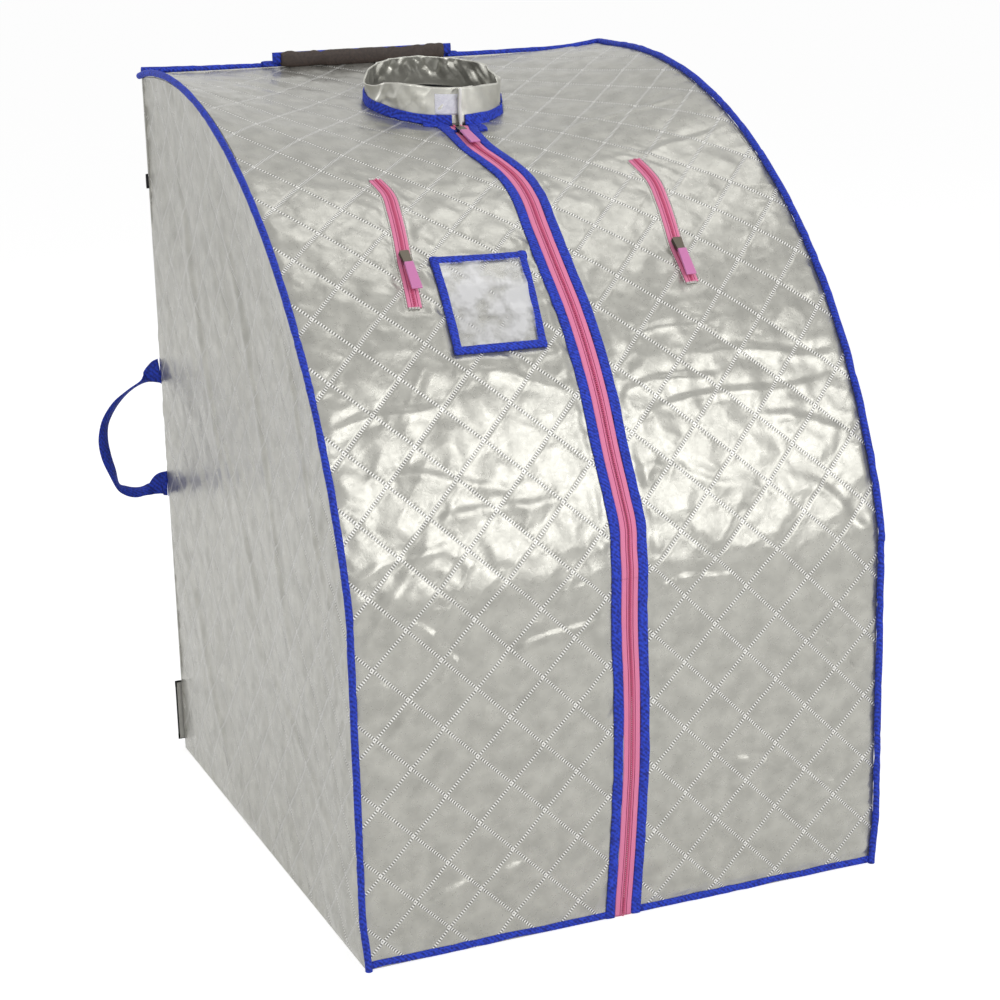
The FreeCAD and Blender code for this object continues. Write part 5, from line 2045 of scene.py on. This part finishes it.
@dataclass
class Collar:
    """The standing collar around the neck opening, its overlapping flap, patches and blue base binding."""

    cabin: Cabin
    wardrobe: Wardrobe
    height: float = 44*MM
    wall: float = 1.6*MM
    binding_height: float = 13*MM
    flap_edge: float = -1.5
    flap_root: float = 50.0
    tongue: float = 15.0
    hook_angles: tuple[float, float] = (-20.0, 7.0)
    start: float = 52.0

    def around(self, angle: Array, radius: Array) -> tuple[Array, Array]:
        """The x and y at an angle from the front, positive to the right, around the neck."""
        turn = np.radians(angle)
        return radius*np.sin(turn), self.cabin.rear - self.cabin.neck_depth - radius*np.cos(turn)

    def foot(self, angle: Array) -> Array:
        """The smooth roof's height at the neck's edge."""
        return self.cabin.height_at(*self.around(angle, self.cabin.neck_radius))

    @staticmethod
    def arc(angle: Array) -> Array:
        """The length of cloth around the neck up to an angle."""
        return np.radians(angle)*90*MM

    def wall_patch(self, angles: Array, radius: Callable[[Array, Array], Array],
                   top: Callable[[Array], Array], low: float, thick: float, rows: int = 18) -> Patch:
        """A closed standing band of cloth.

        Args:
            angles: Angles along the band.
            radius: Outer radius at an angle and a share of the height.
            top: Height of the rim above the roof at an angle.
            low: Height of the lower edge above the roof.
            thick: Thickness of the band.
            rows: Grid rows up the band.

        Returns:
            The band, closed over its rim and ends.
        """
        share = np.concatenate([np.linspace(0, 1, rows), np.linspace(1, 0, rows)])
        inside = np.concatenate([np.zeros(rows), np.ones(rows)])
        angle, up = np.meshgrid(angles, share, indexing="ij")
        inner = np.broadcast_to(inside, angle.shape)
        x, y = self.around(angle, radius(angle, up) - inner*thick)
        points = np.stack([x, y, self.foot(angles)[:, None] + low + (top(angle) - low)*up], -1)
        count, corners = angle.shape
        number = np.arange(count*corners).reshape(count, corners)
        following = np.roll(number, -1, axis=1)
        a, b, c, d = number[:-1], number[1:], following[1:], following[:-1]
        quads = np.concatenate([np.stack(corner, -1).reshape(-1, 3) for corner in ([a, b, c], [a, c, d])])
        caps = []
        for row, order in ((0, 1), (count - 1, -1)):
            for k in range(rows - 1):
                p, q = number[row, k], number[row, k + 1]
                r, t = number[row, corners - 1 - k], number[row, corners - 2 - k]
                caps += [(p, q, t)[::order], (p, t, r)[::order]]
        cells = np.stack([self.arc(angle), up*self.height], -1)/QUILT_CELL
        return Patch(points.reshape(-1, 3), np.concatenate([quads, np.array(caps)]), cells.reshape(-1, 2))

    def crumple(self, angle: Array, up: Array) -> Array:
        """How far the band's cloth is creased out of its ring, most at the back and the left corner.

        Args:
            angle: Angle around the neck in degrees.
            up: Share of the band's height.

        Returns:
            Distance outward.
        """
        arc = self.arc(angle)
        height = up*self.height
        upright = noise(arc - 0.5*height, height*0.25, 10*MM, 171)
        slanted = noise(arc + 0.9*height, height*0.4, 15*MM, 172)
        sharp = (1 - np.abs(noise(arc - 0.8*height, height*0.5 + arc*0.2, 14*MM, 173)))**5
        upright = upright + 0.9*sharp
        strength = 1.3*MM + 2.0*MM*smooth(np.cos(np.radians(angle - 180)), -0.2, 0.8)
        strength = strength + 1.4*MM*np.exp(-((angle - 290)/18)**2)
        rise = smooth(up, 0.05, 0.5)
        corner = 7*MM*np.exp(-((angle - 272)/11)**2)*up - 3*MM*np.exp(-((angle - 300)/22)**2)*up
        return (upright + 0.7*slanted)*strength*rise + corner

    def build(self) -> None:
        """Make the band, the flap, the patches and the base binding."""
        radius = self.cabin.neck_radius
        angles = np.arange(self.start, 360 + self.tongue + 0.1, 1.25)

        def band_radius(angle: Array, up: Array) -> Array:
            """The band leans in at the back, and is creased."""
            back = smooth(-np.cos(np.radians(angle)), -0.1, 0.9)
            return radius - (1 + 13*back)*MM*up + self.crumple(angle, up)

        def band_top(angle: Array) -> Array:
            """Shape the uneven rim: highest in front, drawn down at the corners.

            Args:
                angle: Angle around the neck.

            Returns:
                Height above the roof.
            """
            wave = noise(self.arc(angle), angle*0, 17*MM, 175)
            front = smooth(np.cos(np.radians(angle)), 0.25, 0.85)
            corner = 11*MM*np.exp(-((angle - 274)/17)**2) + 9*MM*np.exp(-((angle - 84)/20)**2)
            back = 3*MM*smooth(-np.cos(np.radians(angle)), 0.2, 0.9)
            return self.height - 1*MM + 5.5*MM*front + 1.0*MM*wave - corner - back

        band = self.wall_patch(angles, band_radius, band_top, 0.4*MM, self.wall)
        piece = ride_roof(dressed("collar_wall", band, self.wardrobe.collar, "silver_satin", "collar_band"))
        self.build_flap()
        self.build_hook()
        self.build_binding()

    def build_flap(self) -> None:
        """Make the flap that closes the collar over its tongue, with its stitched free edge."""
        radius = self.cabin.neck_radius + 5.6*MM
        angles = np.arange(self.flap_edge, self.flap_root + 2.1, 1.0)

        def flap_radius(angle: Array, up: Array) -> Array:
            """Stand the flap just outside the band, flared at its free edge.

            Args:
                angle: Angle around the neck.
                up: Share of the height.

            Returns:
                Radius.
            """
            arc = self.arc(angle)
            crease = 1.5*MM*noise(arc + 0.7*up*self.height, up*self.height*0.4, 12*MM, 181)
            back = smooth(angle, self.flap_root - 8, self.flap_root + 2)
            return radius - 4.6*MM*back + crease*(1 - back) + 1.5*MM*smooth(-angle, -10, -2)*up

        def flap_top(angle: Array) -> Array:
            """The flap's rim drops slightly to the right."""
            return self.height + 5*MM - 1*MM*smooth(angle, 0, 20) - 7*MM*smooth(angle, 20, 54)

        flap = self.wall_patch(angles, flap_radius, flap_top, 2*MM, self.wall)
        piece = dressed("collar_flap_cloth", flap, self.wardrobe.collar, "silver_satin",
                        "collar_flap", "collar_loop_patch")
        ride_roof(piece, Body.COLLAR_FLAP.value)
        up = np.linspace(-0.16, 0.98, 38)
        angle = np.full_like(up, self.flap_edge)
        x, y = self.around(angle + 1.4, flap_radius(angle, up) + 0.7*MM)
        line = np.stack([x, y, self.foot(angle[:1])[0] + 2*MM + (flap_top(angle) - 2*MM)*up], -1)
        edge = ribbon(line, (0.0, -1.0, 0.0), pillow(3.6*MM, -0.4*MM, 1.4*MM))
        piece = dressed("collar_flap_edge", edge, self.wardrobe.thread, "silver_satin")
        ride_roof(piece, Body.COLLAR_FLAP.value)

    def build_hook(self) -> None:
        """Make the white hook patch on the band beside the flap."""
        angles = np.arange(self.hook_angles[0], self.hook_angles[1] + 0.1, 1.0)

        def patch_radius(angle: Array, up: Array) -> Array:
            """The patch lies on the band."""
            return self.cabin.neck_radius + 1.2*MM - 2.5*MM*(0.2 + 0.7*up) + self.crumple(angle, 0.2 + 0.7*up)

        patch = self.wall_patch(angles, patch_radius, lambda angle: np.full_like(angle, 40*MM), 13.5*MM,
                                1.4*MM, 10)
        ride_roof(dressed("collar_hook_tape", patch, self.wardrobe.hook, "white_hook_tape",
                          "collar_hook_patch"))

    def build_binding(self) -> None:
        """Make the blue binding around the collar's foot, open at the front over the zip."""

        def binding_radius(angle: Array, up: Array) -> Array:
            """Stand the binding out at its foot, and over the flap's foot in front of it.

            Args:
                angle: Angle around the neck.
                up: Share of the height.

            Returns:
                Radius.
            """
            over = 5.4*MM*smooth(-angle, -self.flap_root - 4, -self.flap_root + 4)
            wave = 0.6*MM*noise(self.arc(angle), up*10*MM, 15*MM, 191)
            plain = self.cabin.neck_radius + 2.6*MM + over + 1.6*MM*(1 - up)
            return plain + wave + self.crumple(angle, up*0.3)*0.5

        def binding_top(angle: Array) -> Array:
            """Its uneven upper edge."""
            return self.binding_height + 0.7*MM*noise(self.arc(angle), angle*0, 14*MM, 192)

        runs = [np.arange(self.flap_edge + 5, 53.0, 1.5), np.arange(76.0, 355.0, 1.5)]
        patch = merged([self.wall_patch(run, binding_radius, binding_top, 0.2*MM, 2.2*MM, 8) for run in runs])
        ride_roof(dressed("collar_foot_binding", patch, self.wardrobe.blue, "blue_binding", "collar_binding"))


# ---------------------------------------------------------------- straps and port

@dataclass
class TopGrip:
    """The padded brown grip over a blue webbing strap, at the top of the back."""

    wardrobe: Wardrobe
    gathers: float = 0.13
    short: float = 7*MM
    drop: float = 2.5*MM
    anchor_bends: Sequence[tuple[float, float]] = (
        (-4, 977), (-1, 981.5), (4, 983.2), (9, 982), (11.8, 977), (12.2, 965), (11.6, 951))

    def build(self) -> None:
        """Make the sleeve and the strap, and dress the anchors."""
        low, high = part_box("grip_sleeve")
        high.x -= self.short
        x = np.linspace(low.x, high.x, 170)
        middle = (low + high)/2
        middle.z -= self.drop
        line = points_at(x, middle.y, middle.z - 1.4*MM*np.sin(math.pi*np.linspace(0, 1, len(x))))
        turn = np.linspace(0, 2*math.pi, 30, endpoint=False)
        wide, tall = (high.y - low.y)/2, (high.z - low.z)/2
        shape = np.stack([wide*np.sign(np.cos(turn))*np.abs(np.cos(turn))**0.65,
                          tall*np.sign(np.sin(turn))*np.abs(np.sin(turn))**0.8], -1)
        run, around = np.meshgrid(x - low.x, turn*tall, indexing="ij")
        folds = (noise(run + 0.8*around, around*0.4, 9*MM, 201)
                 + 0.7*noise(run - 0.6*around, around, 16*MM, 202))
        ends = 1 - 0.16*np.exp(-(x - low.x)/(3*MM)) - 0.16*np.exp(-(high.x - x)/(3*MM))
        scale = (1 - 0.02 + self.gathers*np.clip(folds, -1.4, 0.3))*ends[:, None]
        outline = shape[None]*scale[..., None]
        patch = swept(line, (0.0, 1.0, 0.0), (0.0, 0.0, 1.0), outline)
        piece = dressed("grip_cover", patch, self.wardrobe.brown, "brown_sleeve", "grip_sleeve")
        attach(piece, Body.GRIP.value)
        low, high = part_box("grip_strap")
        high.x -= self.short
        line = points_at(np.linspace(low.x, high.x, 60), (low.y + high.y)/2, (low.z + high.z)/2)
        patch = swept(line, (0.0, 0.0, 1.0), (0.0, -1.0, 0.0), pillow(high.z - low.z, -1.2*MM, 1.2*MM))
        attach(dressed("grip_webbing", patch, self.wardrobe.webbing, "blue_webbing", "grip_strap"),
                Body.GRIP.value)
        wide = np.array([1.0, 0.0, 0.0])
        rows = []
        for x in (low.x - 5*MM, high.x + 4*MM):
            line = smooth_line([(x, y*MM, z*MM) for y, z in self.anchor_bends], 40)
            out = unit(np.cross(wide, unit(np.gradient(line, axis=0))))
            rows.append(swept(line, wide, out, pillow(16*MM, -0.7*MM, 0.7*MM)))
        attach(dressed("grip_anchor_webbing", merged(rows), self.wardrobe.webbing, "blue_webbing",
                        "grip_anchors"), Body.ROOT.value)


@dataclass
class CarryLoop:
    """The flat webbing loop beside the back's left edge, and the black tab above it."""

    cabin: Cabin
    wardrobe: Wardrobe
    width: float = 17*MM
    thick: float = 2.2*MM
    tab_length: float = 34*MM
    route: Sequence[tuple[float, float, float]] = (
        (-343, 565, 36), (-349, 564, 33), (-359, 560, 22), (-371, 552, 7), (-389, 542, 6), (-408, 527, 10),
        (-421, 510, 12), (-428, 494, 13), (-430.5, 473, 15), (-427.5, 450, 15), (-421, 428, 12),
        (-414, 406, 6),
        (-403, 398, 10), (-390, 394, 11), (-377, 394.5, 9), (-366, 397, 18), (-353, 402, 32), (-343, 402, 36))

    def build(self) -> None:
        """Make the loop, its two sewn tabs and the rear tab."""
        low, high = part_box("carry_loop")
        edge, y = -self.cabin.half - 1*MM, (low.y + high.y)/2
        top, bottom = high.z - 9.5*MM, low.z + 9.5*MM
        route = smooth_line(self.route, 170)
        line = points_at(route[:, 0]*MM, y, route[:, 1]*MM)
        across, up = frames_along(line, BEHIND)
        seen = np.clip(route[:, 2]*MM/self.width, 0, 1)
        turn = np.arccos(seen)[:, None]*0.92
        wide, out = across*np.cos(turn) + up*np.sin(turn), up*np.cos(turn) - across*np.sin(turn)
        width = np.maximum(route[:, 2]*MM, self.width)
        shape = np.array(pillow(1.0, -self.thick/2, self.thick/2))
        outline = points_at(shape[:, 0]*width[:, None], shape[:, 1], 0)[..., :2]
        loop = swept(line, wide, out, outline)
        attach(dressed("carry_webbing", loop, self.wardrobe.webbing, "blue_webbing", "carry_loop"),
                Body.LOOP.value)
        x = np.linspace(edge + 0.5*MM, edge + self.tab_length, 20)
        tabs = [ribbon(points_at(x, y - 0.5*MM, z), BEHIND, pillow(38*MM, -1.2*MM, 1.4*MM))
                for z in (top, bottom)]
        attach(dressed("carry_loop_patches", merged(tabs), self.wardrobe.webbing, "blue_webbing",
                        "carry_loop_tabs"), Body.ROOT.value)
        low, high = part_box("rear_edge_tab")
        line = points_at(np.linspace(low.x, high.x, 14), (low.y + high.y)/2, (low.z + high.z)/2)
        tab = ribbon(line, BEHIND, pillow(high.z - low.z, -1*MM, 1*MM))
        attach(dressed("rear_tab", tab, self.wardrobe.black, "black_webbing", "rear_edge_tab"),
                Body.ROOT.value)


@dataclass
class SteamPort:
    """The hose port low on the back: its cloth cover and the cover's black binding."""

    wardrobe: Wardrobe
    border: float = 9*MM

    def build(self) -> None:
        """Make the cover and its black border."""
        low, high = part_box("port_cover")
        u = np.linspace(low.x + 2*MM, high.x - 2*MM, 40)
        z = np.linspace(low.z + 2*MM, high.z - 2*MM, 34)
        a, b = np.meshgrid(u, z, indexing="ij")
        swell = 0.8*MM*noise(a, b, 22*MM, 211)
        rear, front = high.y - 0.4*MM + swell*0.4, low.y + 0.1*MM + swell*0.4
        outer = np.stack([a, rear, b], -1)
        inner = np.stack([a, front, b], -1)
        cells = np.stack([a, b], -1).reshape(-1, 2)/QUILT_CELL
        patch = merged([Patch(outer.reshape(-1, 3), grid_triangles(*a.shape, flip=True), cells),
                        Patch(inner.reshape(-1, 3), grid_triangles(*a.shape), cells)])
        piece = dressed("port_cover_cloth", patch, self.wardrobe.lining, "silver_satin", "port_cover")
        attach(piece, Body.PORT_COVER.value)
        low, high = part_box("port_cover_binding")
        inset = self.border/2
        corners = np.array([(low.x + inset, low.z + inset), (high.x - inset, low.z + inset),
                            (high.x - inset, high.z - inset), (low.x + inset, high.z - inset)])
        strips = [ribbon(points_at(path[:, 0], (low.y + high.y)/2, path[:, 1]), BEHIND,
                         pillow(self.border, -0.7*MM, 0.7*MM)) for path in frame_paths(corners, inset, 24)]
        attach(dressed("port_cover_border", merged(strips), self.wardrobe.black, "black_webbing",
                        "port_cover_binding"), Body.PORT_COVER.value)


@dataclass
class CarriedParts:
    """The CAD solids that stay as they are, and the finish of each."""

    wardrobe: Wardrobe

    def build(self) -> None:
        """Put a finish on every CAD node that is still shown."""
        finishes = {"steam_port_grommet": self.wardrobe.grommet, "port_cover_hook": self.wardrobe.hook,
                    "back_hoop": self.wardrobe.metal}
        for name, material in finishes.items():
            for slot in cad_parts[name].material_slots:
                slot.material = material
            LOG.info("%s: dressed", name)


# ---------------------------------------------------------------- studio

@dataclass(frozen=True)
class Softbox:
    """One soft rectangular lamp."""

    name: str
    place: tuple[float, float, float]
    target: tuple[float, float, float]
    size: tuple[float, float]
    watts: float

    def build(self) -> None:
        """Hang the lamp and aim it."""
        lamp = bpy.data.lights.new(self.name, "AREA")
        lamp.shape = "RECTANGLE"
        lamp.size, lamp.size_y = self.size
        lamp.energy = self.watts
        holder = bpy.data.objects.new(self.name, lamp)
        holder.location = self.place
        aim(holder, self.target)
        bpy.context.scene.collection.objects.link(holder)


def aim(holder: Object, target: Sequence[float], roll: float = 0.0) -> None:
    """Turn an object's -Z axis towards a point, rolled about it.

    Args:
        holder: The lamp or camera.
        target: Point to look at.
        roll: Turn about the line of sight, in radians, clockwise as seen from behind.
    """
    ahead = unit(np.array(target, float) - np.array(holder.location, float))
    right = unit(np.cross(ahead, (0.0, 0.0, 1.0)))
    up = np.cross(right, ahead)
    right, up = right*math.cos(roll) + up*math.sin(roll), up*math.cos(roll) - right*math.sin(roll)
    rotation = [[right[k], up[k], -ahead[k]] for k in range(3)]
    holder.rotation_mode = "QUATERNION"
    holder.rotation_quaternion = Matrix(rotation).to_quaternion()


@dataclass(frozen=True)
class Studio:
    """Camera, lamps, white surroundings and a plain floor."""

    eye: tuple[float, float, float] = (-1.111, -3.049, 1.2225)
    ahead: tuple[float, float, float] = (0.37279, 0.88906, -0.26571)
    roll_degrees: float = -1.453
    lens: float = 81.475
    surround: float = 0.5
    lamps: tuple[Softbox, ...] = (
        Softbox("front_softbox", (1.25, -3.3, 1.95), (0, -0.7, 0.6), (1.6, 2.3), 36),
        Softbox("key_softbox", (-2.4, -2.6, 2.9), (0, -0.4, 0.5), (1.2, 1.2), 18),
        Softbox("top_softbox", (0.9, -0.3, 3.0), (0.1, -0.45, 0.8), (1.3, 0.9), 6),
        Softbox("rear_softbox", (-1.6, 2.8, 2.0), (0, -0.3, 0.6), (1.6, 1.6), 16),
    )

    def build(self) -> None:
        """Set up the camera, the lamps, the world and the floor."""
        scene = bpy.context.scene
        scene.view_settings.view_transform = "Standard"
        data = bpy.data.cameras.new("camera")
        data.lens = self.lens
        data.sensor_width = 36
        data.clip_end = 50
        camera = bpy.data.objects.new("camera", data)
        camera.location = self.eye
        aim(camera, [e + a for e, a in zip(self.eye, self.ahead)], math.radians(self.roll_degrees))
        scene.collection.objects.link(camera)
        scene.camera = camera
        for lamp in self.lamps:
            lamp.build()
        self.world()
        self.floor()

    def world(self) -> None:
        """White where it is seen, mirrored or looked through; a soft grey as a light."""
        world = bpy.data.worlds.new("white_cyclorama")
        bpy.context.scene.world = world
        world.use_nodes = True
        tree = world.node_tree
        tree.nodes.clear()
        light = add_node(tree, "ShaderNodeBackground", {0: (1, 1, 1, 1), 1: self.surround})
        seen = add_node(tree, "ShaderNodeBackground", {0: (1, 1, 1, 1), 1: 1.0})
        mixed = add_node(tree, "ShaderNodeMixShader", {0: self.seen_share(tree), 1: light.outputs[0],
                                                       2: seen.outputs[0]})
        add_node(tree, "ShaderNodeOutputWorld", {0: mixed.outputs[0]})

    @staticmethod
    def seen_share(tree: NodeTree) -> NodeSocket:
        """Tell rays from the eye, from a mirror or through clear material apart.

        Args:
            tree: The nodes to add it to.

        Returns:
            One for those rays, zero for others.
        """
        path = add_node(tree, "ShaderNodeLightPath").outputs
        glossy = sum_up(tree, "MAXIMUM", path["Is Camera Ray"], path["Is Glossy Ray"])
        return sum_up(tree, "MAXIMUM", glossy, path["Is Transmission Ray"])

    def floor(self) -> None:
        """A large plain white floor."""
        reach = 30.0
        corners = [(-reach, -reach, 0), (reach, -reach, 0), (reach, reach, 0), (-reach, reach, 0)]
        mesh = bpy.data.meshes.new("studio_floor")
        mesh.from_pydata(corners, [], [(0, 1, 2, 3)])
        material = bpy.data.materials.new("white_paper_floor")
        material.use_nodes = True
        tree = material.node_tree
        tree.nodes.clear()
        paper = add_node(tree, "ShaderNodeBsdfDiffuse", {0: (0.86, 0.86, 0.86, 1)})
        glow = add_node(tree, "ShaderNodeEmission", {0: (1, 1, 1, 1), 1: 0.55})
        both = add_node(tree, "ShaderNodeAddShader", {0: paper.outputs[0], 1: glow.outputs[0]})
        mixed = add_node(tree, "ShaderNodeMixShader", {0: self.seen_share(tree), 1: paper.outputs[0],
                                                       2: both.outputs[0]})
        add_node(tree, "ShaderNodeOutputMaterial", {0: mixed.outputs[0]})
        mesh.materials.append(material)
        floor = bpy.data.objects.new("studio_floor", mesh)
        bpy.context.scene.collection.objects.link(floor)


def main() -> None:
    """Build the studio and every sub-assembly of the sauna in order."""
    logging.basicConfig(level=logging.INFO, format="%(name)s %(message)s")
    Studio().build()
    cabin = Cabin()
    wardrobe = Wardrobe()
    for part in (
        CabinCloth(cabin, wardrobe, Quilting()),
        MainZip(cabin, wardrobe),
        ZipPuller(wardrobe, "main_zip", shift=(-11.5*MM, -17*MM, -6.5*MM)),
        ArmZip(cabin, wardrobe, Side.LEFT),
        ArmZip(cabin, wardrobe, Side.RIGHT),
        ZipPuller(wardrobe, "arm_zip_left"),
        ZipPuller(wardrobe, "arm_zip_right"),
        Piping(cabin, wardrobe),
        Window(cabin, wardrobe),
        Collar(cabin, wardrobe),
        TopGrip(wardrobe),
        CarryLoop(cabin, wardrobe),
        SteamPort(wardrobe),
        CarriedParts(wardrobe),
    ):
        part.build()
        LOG.info("built %s", type(part).__name__)


if __name__ == "__main__":
    main()
